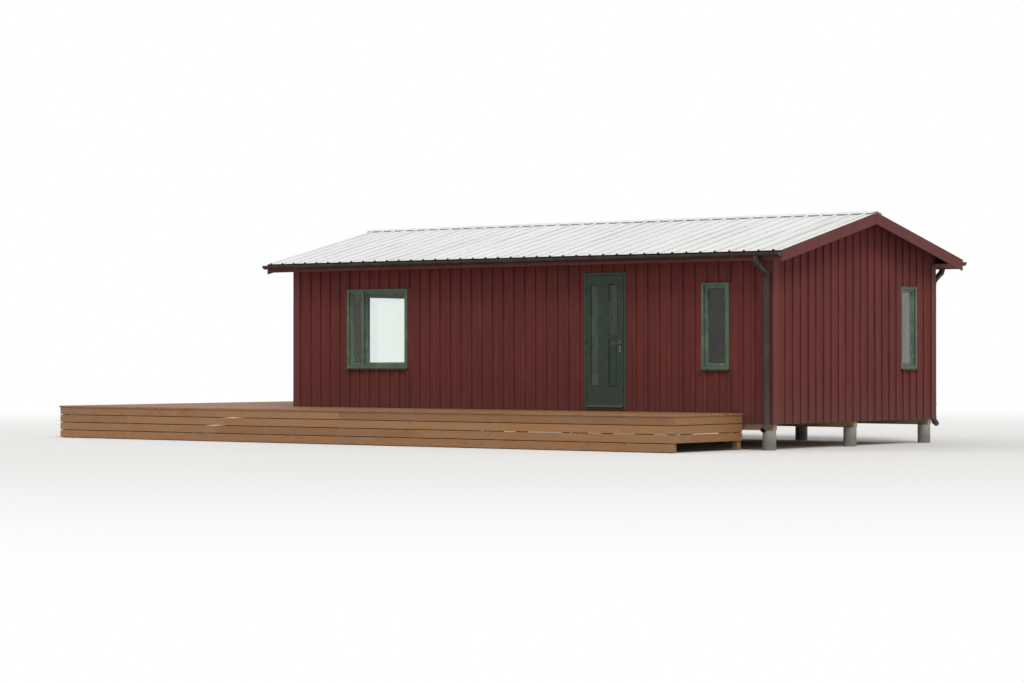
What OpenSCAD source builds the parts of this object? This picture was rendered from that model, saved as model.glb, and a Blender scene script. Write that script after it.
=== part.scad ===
// Lakeside cabin with a timber terrace, in millimetres.
// Origin: underside of the middle foundation pier, on the ground. +X runs along the
// long front wall to the right, +Y runs from the front wall to the back, +Z is up.

/* [House] */
// Length of the house over its cladding, along X
house_l = 9400; // [8400:100:11000]
// Depth of the house over its cladding, along Y
house_w = 4750; // [4200:50:5600]
// Top of the floor above the ground
floor_h = 560; // [480:10:800]
// Height of the wall above the door frame, up to the top plate
header_h = 190; // [150:10:450]
// Thickness of the stud walls with their lining
wall_t = 145; // [95:5:195]
// Thickness of the cladding's base boards
clad_t = 30; // [22:1:45]
// Height of the cladding's lower edge above the ground
clad_low = 380; // [340:10:400]
// Width of a corner board
corner_w = 120; // [80:5:160]
// Thickness of corner boards and other trim
trim_t = 22; // [16:1:28]

/* [Floor and foundation] */
// Thickness of the floorboards
floor_t = 28; // [20:1:40]
// Depth of the floor joists
joist_h = 145; // [120:5:195]
// Thickness of joists, rafters and studs
joist_t = 45; // [36:1:50]
// Spacing of the floor joists
joist_gap = 600; // [400:50:600]
// Gap where the end of one timber butts against another
butt = 0.3; // [0.2:0.1:0.6]
// Section of the bearers under the joists
bearer_s = 95; // [80:5:120]
// Radius of a foundation pier
pier_r = 100; // [90:5:120]
// Number of piers along the house, an odd number
piers_long = 5; // [3:2:7]

/* [Roof] */
// Pitch of the roof in degrees
pitch = 13.5; // [10:0.5:18]
// Overhang of the eaves past the cladding
eave_over = 300; // [220:10:400]
// Overhang of the gables past the cladding
gable_over = 350; // [200:10:450]
// Height of the deck's underside above the top plate, at the outer face of the studs
heel_h = 130; // [124:1:160]
// Depth of the trusses' top chords, measured upright
chord_h = 110; // [100:1:120]
// Depth of the trusses' bottom chords
tie_h = 95; // [80:5:110]
// Number of trusses
truss_n = 9; // [7:1:11]
// Thickness of the roof boards
deck_t = 22; // [18:1:28]
// Clearance under the sloping roof boards
seat = 0.3; // [0.2:0.1:1]
// Thickness of the ceiling
ceil_t = 20; // [13:1:30]
// Thickness of the soffit boards
soffit_t = 12; // [9:1:18]
// Width of the fascia and barge boards
barge_w = 175; // [165:5:200]
// Height of the ribs of the metal sheets
rib_h = 20; // [15:1:30]
// Spacing of the ribs
rib_gap = 250; // [150:10:350]
// Thickness of the metal sheets
sheet_t = 2; // [1:0.5:4]
// Reach of the sheets past the eave fascia
sheet_drip = 45; // [30:5:60]
// Width of each wing of the ridge cap
cap_w = 160; // [120:5:200]

/* [Rainwater] */
// Radius of the half-round gutters
gutter_r = 62; // [50:1:75]
// Thickness of the gutter metal
gutter_t = 3; // [2:0.5:4]
// Fall from the top of the roof boards to the gutters' rim
gutter_drop = 35; // [28:1:50]
// Thickness of the gutter hooks
hook_t = 4; // [3:0.5:6]
// Width of a gutter hook
hook_w = 25; // [20:1:40]
// Largest spacing of the hooks
hook_gap = 900; // [600:50:1200]
// Radius of the downpipes
pipe_r = 44; // [38:1:50]
// Distance of a downpipe's axis from the house corner
pipe_in = 60; // [50:5:110]
// Space between a downpipe and the cladding
pipe_off = 40; // [30:1:60]
// Height of the foot of a straight downpipe above the ground
pipe_low = 400; // [300:10:500]
// Radius of the bends in a downpipe, at its middle
bend_r = 75; // [60:1:90]
// Angle of the swan neck from upright
neck_angle = 60; // [45:1:65]
// Fall from the gutter's axis to the start of the swan neck
neck_drop = 105; // [90:5:160]

/* [Door] */
// Centre of the door from the right corner of the house
door_from_right = 3020; // [2600:10:3600]
// Width of the door frame
door_w = 790; // [690:10:990]
// Height of the door frame
door_h = 2090; // [1990:10:2110]
// Width of a frame member of the door
jamb_w = 40; // [35:1:60]
// Depth of the door frame
jamb_d = 120; // [100:5:140]
// Thickness of the door leaf
leaf_t = 50; // [40:1:60]
// Height of the threshold
sill_t = 25; // [20:1:30]
// Clearance round the moving leaf
door_gap = 5; // [5:0.5:8]
// Width of the leaf's stile at the hinges
stile_w = 80; // [70:2:100]
// Width of the leaf's two columns of panels
panel_w = 158; // [130:2:170]
// Distance of the second column from the leaf's free edge
lock_stile_w = 122; // [110:2:140]
// Height of the leaf's bottom rail
kick_h = 310; // [200:10:360]
// Height of the leaf's top rail
top_rail_h = 135; // [100:5:160]
// Height of the pane in the second column
pane_h = 780; // [600:10:900]
// Height of the rail under the pane
mid_rail_h = 60; // [50:2:90]
// Depth of the panels behind the leaf's faces
panel_d = 12; // [6:1:15]
// Width of the bead round the pane
bead_w = 20; // [14:1:26]
// Thickness of the bead
bead_t = 8; // [6:1:12]
// Radius of a hinge knuckle
knuckle_r = 7; // [6:0.5:8]
// Height of one half of a hinge
knuckle_h = 40; // [30:1:60]
// Radius of a hinge pin
pin_r = 4; // [3:0.5:4.5]
// Height of the handle above the floor
handle_h = 1000; // [900:10:1040]
// Distance of the handle from the leaf's free edge
handle_in = 60; // [50:1:66]

/* [Windows] */
// Height of a window frame
win_h = 1290; // [1000:10:1390]
// Height of the window frames' lower edge above the floor
win_sill = 620; // [500:10:800]
// Width of a narrow window
narrow_w = 490; // [400:10:690]
// Width of a wide window
wide_w = 1290; // [1090:10:1590]
// Width of the side light of a wide window
vent_w = 345; // [340:5:500]
// Width of the left gable window
gable_win_w = 1190; // [890:10:1490]
// Centre of the narrow windows from the right corner
narrow_from_right = 1010; // [800:10:1300]
// Centre of the wide windows from the left corner
wide_from_left = 1800; // [1100:10:2600]
// Centre of the right gable window from the back corner
gable_right_in = 810; // [550:10:1600]
// Distance of the left gable window's centre behind the ridge line
gable_left_y = -75; // [-600:5:600]
// Depth of the window frames
frame_d = 105; // [90:5:140]
// Width of a frame member of a window
frame_w = 42; // [36:1:55]
// Width of a sash member
sash_w = 38; // [30:1:50]
// Thickness of a glass unit
glass_t = 24; // [18:1:36]
// Distance that frames stand proud of the cladding
proud = 10; // [6:1:20]
// Reach of the metal sills past the cladding
sill_reach = 50; // [35:1:70]
// Thickness of the metal sills
metal_t = 3; // [2:0.5:4]

/* [Terrace] */
// Depth of the terrace in front of the house
terrace_d = 1800; // [1400:50:2600]
// Reach of the terrace past the left corner of the house
terrace_left = 3730; // [2500:10:4200]
// Distance from the terrace's right end to the right corner of the house
terrace_in = 500; // [350:10:1200]
// Step down from the floor to the terrace
terrace_drop = 20; // [10:1:50]
// Thickness of the terrace boards
board_t = 28; // [24:1:34]
// Depth of the terrace joists
terrace_joist_h = 120; // [95:5:145]
// Section of a terrace post
post_s = 95; // [90:5:120]
// Largest spacing of the posts
post_gap = 1600; // [1200:50:2000]
// Largest spacing of the packing blocks between terrace and house
pack_gap = 1800; // [1200:50:2400]
// Width of a packing block
pack_w = 95; // [70:5:145]
// Space between the terrace and the cladding
terrace_gap = 30; // [26:1:60]
// Height of a skirt board
skirt_w = 118; // [95:1:120]
// Gap between skirt boards
skirt_gap = 10; // [5:1:15]
// Number of skirt boards at the front
skirt_n = 4; // [3:1:4]
// Reach of the deck boards past the skirt
nosing = 15; // [5:1:30]

/* [Hidden] */
$fn = 48;
// Half sizes of the house: cladding, stud faces and inner faces
x_out = house_l / 2;
y_out = house_w / 2;
x_str = x_out - clad_t;
y_str = y_out - clad_t;
x_in = x_str - wall_t;
y_in = y_str - wall_t;
// Levels
z_plate = floor_h + door_h + header_h;
z_joist = floor_h - floor_t - joist_h;
z_bearer = z_joist - bearer_s;
// Roof lines
slope = tan(pitch);
deck_v = deck_t / cos(pitch);
soffit_v = soffit_t / cos(pitch);
deck_top = seat + deck_v;
y_tail = y_out + eave_over - trim_t;
y_eave = y_out + eave_over;
x_deck = x_out + gable_over - trim_t;
x_barge = x_out + gable_over;
y_pipe = y_out + pipe_off + pipe_r;
// Places of the door and windows
door_x = x_out - door_from_right;
narrow_x = x_out - narrow_from_right;
wide_x = wide_from_left - x_out;
gable_right_y = y_out - gable_right_in;
z_win = floor_h + win_sill;
// Door leaf and its hinge axis
clear_w = door_w - 2 * jamb_w;
hinge_off = knuckle_r + 2;
// The leaf's inner free corner swings out past its closed place by this much
swing_out = pow(hinge_off + leaf_t, 2) / (2 * (clear_w - 2 * door_gap)) + 0.2;
leaf_w = clear_w - 2 * door_gap - swing_out;
leaf_low = floor_h + sill_t + door_gap;
leaf_h = door_h - jamb_w - sill_t - 2 * door_gap;
door_face = -y_out - proud;
hinge_x = door_x - clear_w / 2;
leaf_x = hinge_x + door_gap;
hinge_y = door_face - hinge_off;
hinge_levels = [220, leaf_h / 2, leaf_h - 220];
stop_w = 12;
// Terrace
z_deck = floor_h - terrace_drop;
z_tjoist = z_deck - board_t - terrace_joist_h;
tx_left = -x_out - terrace_left;
tx_right = x_out - terrace_in;
ty_wall = -y_out - terrace_gap;
ty_front = ty_wall - terrace_d;
tx_wall = -x_out - terrace_gap;
skirt_t = board_t;
frame_in = nosing + skirt_t;

// Underside of the roof boards above a point that lies y from the ridge line
function roof_z(y) = z_plate + heel_h + (y_str - abs(y)) * slope;

// A box between two corners
module block(low, high) {
    translate(low) cube(high - low);
}

// A profile drawn in Y and Z, extruded along X
module along_x(x0, x1) {
    translate([x0, 0, 0]) rotate([90, 0, 90]) linear_extrude(x1 - x0) children();
}

// Turns a piece of the front wall about Z into the place of another wall
module at_wall(side) {
    if (side == "front") children();
    if (side == "back") mirror([0, 1, 0]) children();
    if (side == "left") translate([y_out - x_out, 0, 0]) rotate([0, 0, -90]) children();
    if (side == "right") translate([x_out - y_out, 0, 0]) rotate([0, 0, 90]) children();
}

// Hole for a window frame, right through the front wall and its cladding
module window_hole(x, w) {
    block([x - w / 2, -y_out - 1, z_win], [x + w / 2, -y_in + 1, z_win + win_h]);
}

// Outline of a gable up to the roof boards, in Y and Z
module gable_outline(y, low) {
    polygon([[-y, low], [y, low], [y, roof_z(y)], [0, roof_z(0)], [-y, roof_z(y)]]);
}

module foundation_piers() {
    pier_x = [for (i = [0 : piers_long - 1])
        (i / (piers_long - 1) - 0.5) * 2 * (x_str - pier_r)];
    color("darkgray")
    for (x = pier_x, y = [-1, 0, 1])
        translate([x, y * bearer_y(), 0]) cylinder(r = pier_r, h = z_bearer);
}

// Distance of the outer bearers from the middle one: under the middle of the walls
function bearer_y() = y_str - wall_t / 2;

module bearers() {
    color("peru")
    for (y = [-1, 0, 1])
        translate([0, y * bearer_y(), z_bearer + bearer_s / 2])
            cube([2 * x_str, bearer_s, bearer_s], center = true);
}

// Rim joists along X at both ends of joists that run along Y, over a rectangle
module joist_grid(low, high, z, h) {
    t = joist_t;
    for (y = [low[1], high[1] - t]) block([low[0], y, z], [high[0], y + t, z + h]);
    for (x = spread(low[0], high[0] - t, joist_gap))
        block([x, low[1] + t + butt, z], [x + t, high[1] - t - butt, z + h]);
}

module floor_joists() {
    color("burlywood") joist_grid([-x_str, -y_str], [x_str, y_str], z_joist, joist_h);
}

module floor_boards() {
    color("wheat") block([-x_str, -y_str, floor_h - floor_t], [x_str, y_str, floor_h]);
}

// Stretch of the front wall's studs between two places along X
module front_studs(x0, x1) {
    block([x0, -y_str, floor_h], [x1, -y_in, z_plate]);
}

module front_wall_left() {
    color("tan") difference() {
        front_studs(-x_str, door_x - door_w / 2);
        window_hole(wide_x, wide_w);
    }
}

module front_wall_right() {
    color("tan") difference() {
        front_studs(door_x + door_w / 2, x_str);
        window_hole(narrow_x, narrow_w);
    }
}

module front_wall_over_door() {
    color("tan") block([door_x - door_w / 2, -y_str, floor_h + door_h],
                       [door_x + door_w / 2, -y_in, z_plate]);
}

module back_wall() {
    color("tan") at_wall("back") difference() {
        front_studs(-x_str, x_str);
        window_hole(wide_x, wide_w);
        window_hole(narrow_x, narrow_w);
    }
}

module gable_wall(side, at, w) {
    x0 = side == "left" ? -x_str : x_in;
    difference() {
        along_x(x0, x0 + wall_t) gable_outline(y_in, floor_h);
        at_wall(side) window_hole(side == "left" ? -at : at, w);
    }
}

module left_gable_wall() {
    color("tan") gable_wall("left", gable_left_y, gable_win_w);
}

module right_gable_wall() {
    color("tan") gable_wall("right", gable_right_y, narrow_w);
}

// Stretch of the front cladding between two places along X
module front_boards(x0, x1) {
    block([x0, -y_out, clad_low], [x1, -y_str, z_plate + 10]);
}

module front_cladding_left() {
    color("darkred") difference() {
        front_boards(-x_out, door_x - door_w / 2);
        window_hole(wide_x, wide_w);
    }
}

module front_cladding_right() {
    color("darkred") difference() {
        front_boards(door_x + door_w / 2, x_out);
        window_hole(narrow_x, narrow_w);
    }
}

module front_cladding_at_door() {
    x0 = door_x - door_w / 2;
    x1 = door_x + door_w / 2;
    color("darkred") {
        block([x0, -y_out, clad_low], [x1, -y_str, floor_h]);
        block([x0, -y_out, floor_h + door_h], [x1, -y_str, z_plate + 10]);
    }
}

module back_cladding() {
    color("darkred") at_wall("back") difference() {
        front_boards(-x_out, x_out);
        window_hole(wide_x, wide_w);
        window_hole(narrow_x, narrow_w);
    }
}

module gable_cladding(side, at, w) {
    x0 = side == "left" ? -x_out : x_str;
    difference() {
        along_x(x0, x0 + clad_t) gable_outline(y_str, clad_low);
        at_wall(side) window_hole(side == "left" ? -at : at, w);
    }
}

module left_gable_cladding() {
    color("darkred") gable_cladding("left", gable_left_y, gable_win_w);
}

module right_gable_cladding() {
    color("darkred") gable_cladding("right", gable_right_y, narrow_w);
}

// Two boards that lap at each corner, from the cladding's lower edge to the soffit
module corner_boards() {
    top = z_plate - 10;
    color("maroon")
    for (sx = [0, 1], sy = [0, 1])
        mirror([sx, 0, 0]) mirror([0, sy, 0])
        translate([x_out, y_out, clad_low]) linear_extrude(top - clad_low)
            difference() {
                translate([-corner_w, -corner_w]) square(corner_w + trim_t);
                translate([-corner_w - 1, -corner_w - 1]) square(corner_w + 1);
            }
}

module ceiling() {
    color("ivory") block([-x_in, -y_in, z_plate - ceil_t], [x_in, y_in, z_plate]);
}

// One roof truss, drawn in Y and Z
module truss_outline() {
    tie_top = z_plate + tie_h;
    for (s = [-1, 1]) {
        polygon([[s * y_tail, roof_z(y_tail)], [0, roof_z(0)],
                 [0, roof_z(0) - chord_h], [s * y_tail, roof_z(y_tail) - chord_h]]);
        polygon([[0, tie_top - 1], [s * joist_t, tie_top - 1],
                 [s * (y_str / 2 + joist_t), roof_z(y_str / 2) - chord_h + 1],
                 [s * y_str / 2, roof_z(y_str / 2) - chord_h + 1]]);
    }
    polygon([[-y_str, z_plate], [y_str, z_plate], [y_str, z_plate + 60],
             [y_str - 200, tie_top], [200 - y_str, tie_top], [-y_str, z_plate + 60]]);
    translate([-joist_t / 2, z_plate]) square([joist_t, roof_z(0) - chord_h - z_plate + 5]);
}

module roof_trusses() {
    first = x_in - joist_t - 50;
    color("burlywood")
    for (i = [0 : truss_n - 1]) {
        x = -first + i * 2 * first / (truss_n - 1);
        along_x(x - joist_t / 2, x + joist_t / 2) truss_outline();
    }
}

// Layer of the roof on one slope, in Y and Z: side is -1 in front and 1 at the back
module slope_layer(side, y, low, thick) {
    polygon([[side * y, roof_z(y) + low], [0, roof_z(0) + low],
             [0, roof_z(0) + low + thick], [side * y, roof_z(y) + low + thick]]);
}

module roof_boards(side) {
    color("burlywood") along_x(-x_deck, x_deck) slope_layer(side, y_eave, seat, deck_v);
}

// Ribbed sheets of one slope: the profile runs along X and is drawn out down the slope
module roof_sheets(side) {
    run = (y_eave + sheet_drip) / cos(pitch);
    ribs = floor(2 * x_barge / rib_gap);
    step = 2 * x_barge / ribs;
    foot = 45;
    crown = 25;
    top_line = [for (i = [0 : ribs - 1]) let (x = -x_barge + (i + 0.5) * step)
        each [[x - foot / 2, 0], [x - crown / 2, rib_h], [x + crown / 2, rib_h],
              [x + foot / 2, 0]]];
    outline = concat([[-x_barge, 0]], top_line, [[x_barge, 0]]);
    thick = [for (i = [len(outline) - 1 : -1 : 0]) outline[i] + [0, sheet_t]];
    z_top = roof_z(0) + deck_top;
    color("gainsboro")
    mirror([0, side > 0 ? 1 : 0, 0])
    translate([0, 0, z_top]) rotate([90 + pitch, 0, 0])
        linear_extrude(run) polygon(concat(outline, thick));
}

// Folded cap that lies on the crowns of the ribs
module ridge_cap() {
    low = deck_top + (rib_h + sheet_t) / cos(pitch) + seat;
    color("silver") along_x(-x_barge, x_barge)
        polygon([for (p = [[-cap_w, 0], [0, 0], [cap_w, 0],
                           [cap_w, sheet_t], [0, sheet_t], [-cap_w, sheet_t]])
            [p[0], roof_z(p[0]) + low + p[1]]]);
}

// Boxed eave on each side: a fascia over the truss ends and a sloping soffit under them
module eaves() {
    color("maroon")
    for (side = [-1, 1])
        along_x(-x_deck, x_deck) {
            polygon([[side * y_out, roof_z(y_out) - chord_h],
                     [side * y_tail, roof_z(y_tail) - chord_h],
                     [side * y_tail, roof_z(y_tail) - chord_h - soffit_v],
                     [side * y_out, roof_z(y_out) - chord_h - soffit_v]]);
            polygon([[side * y_tail, roof_z(y_tail)], [side * y_eave, roof_z(y_eave)],
                     [side * y_eave, roof_z(y_tail) - chord_h - soffit_v - 8],
                     [side * y_tail, roof_z(y_tail) - chord_h - soffit_v - 8]]);
        }
}

// Two boards on each gable that meet at the ridge
module barge_boards() {
    color("maroon")
    for (x = [-x_barge, x_deck], side = [-1, 1])
        along_x(x, x + trim_t)
            polygon([for (p = [[y_eave, 0], [butt / 2, 0],
                               [butt / 2, -barge_w], [y_eave, -barge_w]])
                [side * p[0], roof_z(p[0]) + deck_top + p[1]]]);
}

// Height of the gutters' axis: just under the sheets' lower edge
function gutter_z() = roof_z(y_eave) + deck_top - gutter_drop;

// Half-round section of a gutter or hook in Y and Z, with its rim at the gutter's axis
module trough(r_outer, r_inner) {
    difference() {
        circle(r_outer);
        circle(r_inner);
        translate([-r_outer - 1, 0]) square([2 * r_outer + 2, r_outer + 1]);
    }
}

// Distance of the gutters' axis from the ridge line
function gutter_y() = y_eave + hook_t + gutter_r;

module gutters() {
    color("dimgray")
    for (side = [0, 1])
        mirror([0, side, 0]) translate([0, gutter_y(), gutter_z()]) difference() {
            union() {
                along_x(-x_barge, x_barge) trough(gutter_r, gutter_r - gutter_t);
                for (x = [-x_barge, x_barge - gutter_t])
                    along_x(x, x + gutter_t) trough(gutter_r, 0);
                for (x = spread(-x_barge + 150, x_barge - 150, hook_gap))
                    along_x(x - hook_w / 2, x + hook_w / 2) {
                        trough(gutter_r + hook_t, gutter_r - gutter_t);
                        translate([-gutter_r - hook_t, 0])
                            square([hook_t, gutter_drop - 10]);
                    }
            }
            translate([x_out - pipe_in, 0, -gutter_r - hook_t])
                cylinder(r = pipe_r - gutter_t, h = gutter_r);
        }
}

// Bend of a downpipe that starts downwards and turns towards +Y
module pipe_bend(r) {
    translate([0, bend_r, 0]) rotate([-90, 0, -90])
        rotate_extrude(angle = neck_angle) translate([bend_r, 0]) circle(r);
}

// Carries its children to the end of such a bend, with -Z along the pipe
module after_bend() {
    translate([0, bend_r * (1 - cos(neck_angle)), -bend_r * sin(neck_angle)])
        rotate([neck_angle, 0, 0]) children();
}

// Straight pipe of length h down from the origin; its ends stay inside the sockets
module pipe_run(r, h) {
    translate([0, 0, 3 - h]) cylinder(r = r, h = h - 6);
}

// Socket round a joint at the origin
module pipe_socket(r, h) {
    translate([0, 0, -h / 2]) cylinder(r = r, h = h);
}

// A downpipe's outside or inside, from the gutter's axis down: step is how much wider its
// sockets are than its radius r, socket_h their length, and over a reach past both ends
module pipe_path(r, step, socket_h, over) {
    off = gutter_y() - y_pipe;
    run = (off - 2 * bend_r * (1 - cos(neck_angle))) / sin(neck_angle);
    mouth = 70;
    translate([0, 0, -neck_drop]) {
        translate([0, 0, 3]) cylinder(r = r, h = neck_drop - 43 + over);
        pipe_socket(r + step, socket_h);
        pipe_bend(r);
        after_bend() {
            pipe_socket(r + step, socket_h);
            pipe_run(r, run);
            translate([0, 0, -run]) pipe_socket(r + step, socket_h);
        }
    }
    translate([0, off, z_neck_end() - gutter_z()]) {
        rotate([180, 0, 0]) pipe_bend(r);
        pipe_socket(r + step, socket_h);
        pipe_run(r, z_neck_end() - pipe_low);
    }
    translate([0, off, pipe_low - gutter_z()]) mirror([0, 1, 0]) {
        pipe_socket(r + step, socket_h);
        pipe_bend(r);
        after_bend() {
            pipe_socket(r + step, socket_h);
            translate([0, 0, -mouth - over]) cylinder(r = r, h = mouth - 3 + over);
        }
    }
}

// Height at which the swan neck ends in the straight pipe
function z_neck_end() =
    let (run = (gutter_y() - y_pipe - 2 * bend_r * (1 - cos(neck_angle))) / sin(neck_angle))
    gutter_z() - neck_drop - 2 * bend_r * sin(neck_angle) - run * cos(neck_angle);

// Downpipes at the right corner in front and at the back, with clamps to the corner boards
module downpipes() {
    clamp_h = 25;
    color("dimgray")
    for (side = [0, 1])
        mirror([0, side, 0]) translate([x_out - pipe_in, -gutter_y(), gutter_z()])
            difference() {
                union() {
                    pipe_path(pipe_r, hook_t, 40, 0);
                    for (z = [pipe_low + 200, z_neck_end() - 250])
                        translate([0, gutter_y() - y_pipe, z - gutter_z()]) {
                            cylinder(r = pipe_r + hook_t, h = clamp_h);
                            block([-2 * hook_t, 0, 0],
                                  [2 * hook_t, y_pipe - y_out - trim_t, clamp_h]);
                        }
                }
                pipe_path(pipe_r - gutter_t, 2, 16, 5);
                rotate([0, 90, 0])
                    cylinder(r = gutter_r + seat, h = 4 * pipe_r, center = true);
            }
}

module door_frame() {
    x0 = door_x - door_w / 2;
    x1 = door_x + door_w / 2;
    y0 = door_face;
    y1 = door_face + jamb_d;
    stop_y = y0 + leaf_t + door_gap;
    z1 = floor_h + door_h;
    color("darkolivegreen") {
        block([x0, y0, floor_h], [x0 + jamb_w, y1, z1]);
        block([x1 - jamb_w, y0, floor_h], [x1, y1, z1]);
        block([x0, y0, z1 - jamb_w], [x1, y1, z1]);
        block([x0, stop_y, floor_h], [x0 + jamb_w + stop_w, y1, z1]);
        block([x1 - jamb_w - stop_w, stop_y, floor_h], [x1, y1, z1]);
        block([x0, stop_y, z1 - jamb_w - stop_w], [x1, y1, z1]);
        block([x0, y0, floor_h], [x1, y1, floor_h + sill_t]);
    }
}

// Lower half of each hinge, with the pin that stands up out of it
module door_frame_hinges() {
    color("silver")
    for (h = hinge_levels)
        translate([hinge_x, hinge_y, leaf_low + h]) {
            translate([0, 0, -knuckle_h]) cylinder(r = knuckle_r, h = knuckle_h);
            cylinder(r = pin_r, h = knuckle_h - 8);
            block([-28, knuckle_r - 5, -knuckle_h], [0, hinge_off, 0]);
        }
}

// Lower corner of the leaf's pane on the side of the hinges, in the outer face
function pane_corner() = [leaf_x + leaf_w - lock_stile_w - panel_w, door_face,
                          leaf_low + leaf_h - top_rail_h - pane_h];

// Panelled leaf with a bead round its pane and a drip board at its foot
module door_leaf() {
    drip = 22;
    low = leaf_low + kick_h;
    pane = pane_corner();
    color("darkgreen") {
        difference() {
            translate([leaf_x, door_face, leaf_low]) cube([leaf_w, leaf_t, leaf_h]);
            translate(pane - [0, 1, 0]) cube([panel_w, leaf_t + 2, pane_h]);
            for (y = [door_face - 1, door_face + leaf_t - panel_d]) {
                translate([leaf_x + stile_w, y, low])
                    cube([panel_w, panel_d + 1, leaf_h - kick_h - top_rail_h]);
                translate([pane[0], y, low])
                    cube([panel_w, panel_d + 1, pane[2] - mid_rail_h - low]);
            }
        }
        for (y = [door_face - bead_t, door_face + leaf_t])
            difference() {
                translate([pane[0] - bead_w, y, pane[2] - bead_w])
                    cube([panel_w + 2 * bead_w, bead_t, pane_h + 2 * bead_w]);
                translate([pane[0], y - 1, pane[2]]) cube([panel_w, bead_t + 2, pane_h]);
            }
        along_x(leaf_x + 8, leaf_x + leaf_w - 8)
            polygon([[door_face, leaf_low + 5], [door_face - drip, leaf_low + 5],
                     [door_face - drip, leaf_low + 13], [door_face, leaf_low + 45]]);
    }
}

module door_glass() {
    color("lightblue", 0.4)
    translate(pane_corner() + [0, (leaf_t - glass_t) / 2, 0])
        cube([panel_w, glass_t, pane_h]);
}

// Plate, spindle and lever on both faces of the leaf
module door_handle() {
    x = leaf_x + leaf_w - handle_in;
    reach = 45;
    color("silver")
    for (side = [-1, 1])
        translate([x, door_face + (side > 0 ? leaf_t : 0), floor_h + handle_h]) {
            block([-18, side > 0 ? 0 : -6, -120], [18, side > 0 ? 6 : 0, 50]);
            rotate([-90 * side, 0, 0]) cylinder(r = 9, h = reach);
            translate([0, side * reach, 0]) rotate([0, -90, 0]) cylinder(r = 9, h = 115);
            translate([0, side * reach, 0]) sphere(r = 9);
            translate([0, side > 0 ? 0 : -10, -85]) rotate([-90, 0, 0])
                cylinder(r = 11, h = 10);
        }
}

// Upper half of each hinge, bored for the pin
module door_leaf_hinges() {
    color("silver")
    for (h = hinge_levels)
        translate([hinge_x, hinge_y, leaf_low + h + 1]) difference() {
            union() {
                cylinder(r = knuckle_r, h = knuckle_h);
                block([3, knuckle_r - 5, 0], [40, hinge_off, knuckle_h]);
            }
            translate([0, 0, -1]) cylinder(r = pin_r + 0.3, h = knuckle_h - 4);
        }
}

// Frame and sashes of a window in the front wall; lights lists the sash widths
module window_frame(x, w, lights) {
    y0 = -y_out - proud;
    inner_h = win_h - 2 * frame_w;
    difference() {
        block([x - w / 2, y0, z_win], [x + w / 2, y0 + frame_d, z_win + win_h]);
        for (l = lights)
            translate([x - w / 2 + l[0], y0 - 1, z_win + frame_w]) {
                cube([l[1], 26, inner_h]);
                translate([sash_w, 0, sash_w])
                    cube([l[1] - 2 * sash_w, frame_d + 2, inner_h - 2 * sash_w]);
            }
    }
}

// Places and widths of the lights inside a window frame
function one_light(w) = [[frame_w, w - 2 * frame_w]];
function two_lights(w) = [[frame_w, vent_w - 1.5 * frame_w],
                          [vent_w + frame_w / 2, w - vent_w - 1.5 * frame_w]];

module front_windows() {
    color("darkolivegreen") {
        window_frame(wide_x, wide_w, two_lights(wide_w));
        window_frame(narrow_x, narrow_w, one_light(narrow_w));
    }
}

module back_windows() {
    color("darkolivegreen") at_wall("back") {
        window_frame(wide_x, wide_w, two_lights(wide_w));
        window_frame(narrow_x, narrow_w, one_light(narrow_w));
    }
}

module gable_windows() {
    color("darkolivegreen") {
        at_wall("left") window_frame(-gable_left_y, gable_win_w, one_light(gable_win_w));
        at_wall("right") window_frame(gable_right_y, narrow_w, one_light(narrow_w));
    }
}

// Folded metal sill under a window frame of the front wall, sloping down to its drip
module metal_sill(x, w) {
    side = 12;
    fall = 14;
    lip = 8;
    y1 = -y_out - proud;
    y2 = -y_out - sill_reach;
    along_x(x - w / 2 - side, x + w / 2 + side)
        polygon([[-y_out, z_win], [y1, z_win], [y2, z_win - fall],
                 [y2, z_win - fall - lip], [y2 + metal_t, z_win - fall - lip],
                 [y2 + metal_t, z_win - fall - metal_t], [y1, z_win - metal_t],
                 [-y_out, z_win - metal_t]]);
}

module window_sills() {
    color("dimgray") {
        for (wall = ["front", "back"])
            at_wall(wall) {
                metal_sill(wide_x, wide_w);
                metal_sill(narrow_x, narrow_w);
            }
        at_wall("left") metal_sill(-gable_left_y, gable_win_w);
        at_wall("right") metal_sill(gable_right_y, narrow_w);
    }
}

// Glass of one window, let in behind the face of its sashes
module panes(x, w, lights) {
    y0 = -y_out - proud + 45;
    for (l = lights)
        block([x - w / 2 + l[0] + sash_w, y0, z_win + frame_w + sash_w],
              [x - w / 2 + l[0] + l[1] - sash_w, y0 + glass_t,
               z_win + win_h - frame_w - sash_w]);
}

module window_glass() {
    color("lightblue", 0.4) {
        for (side = ["front", "back"])
            at_wall(side) {
                panes(wide_x, wide_w, two_lights(wide_w));
                panes(narrow_x, narrow_w, one_light(narrow_w));
            }
        at_wall("left") panes(-gable_left_y, gable_win_w, one_light(gable_win_w));
        at_wall("right") panes(gable_right_y, narrow_w, one_light(narrow_w));
    }
}

// Even places from one end to the other, no further apart than gap
function spread(low, high, gap) =
    let (n = ceil((high - low) / gap)) [for (i = [0 : n]) low + i * (high - low) / n];

module terrace_posts() {
    half = post_s / 2;
    in = frame_in + half;
    front_rows = [ty_front + in, ty_wall - half];
    side_rows = spread(ty_wall - half, y_out - in, post_gap);
    color("tan") {
        for (x = spread(tx_left + in, tx_right - in, post_gap), y = front_rows)
            translate([x - half, y - half, 0]) cube([post_s, post_s, z_tjoist]);
        for (x = [tx_left + in, tx_wall - half],
             y = [for (i = [1 : len(side_rows) - 1]) side_rows[i]])
            translate([x - half, y - half, 0]) cube([post_s, post_s, z_tjoist]);
    }
}

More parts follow.
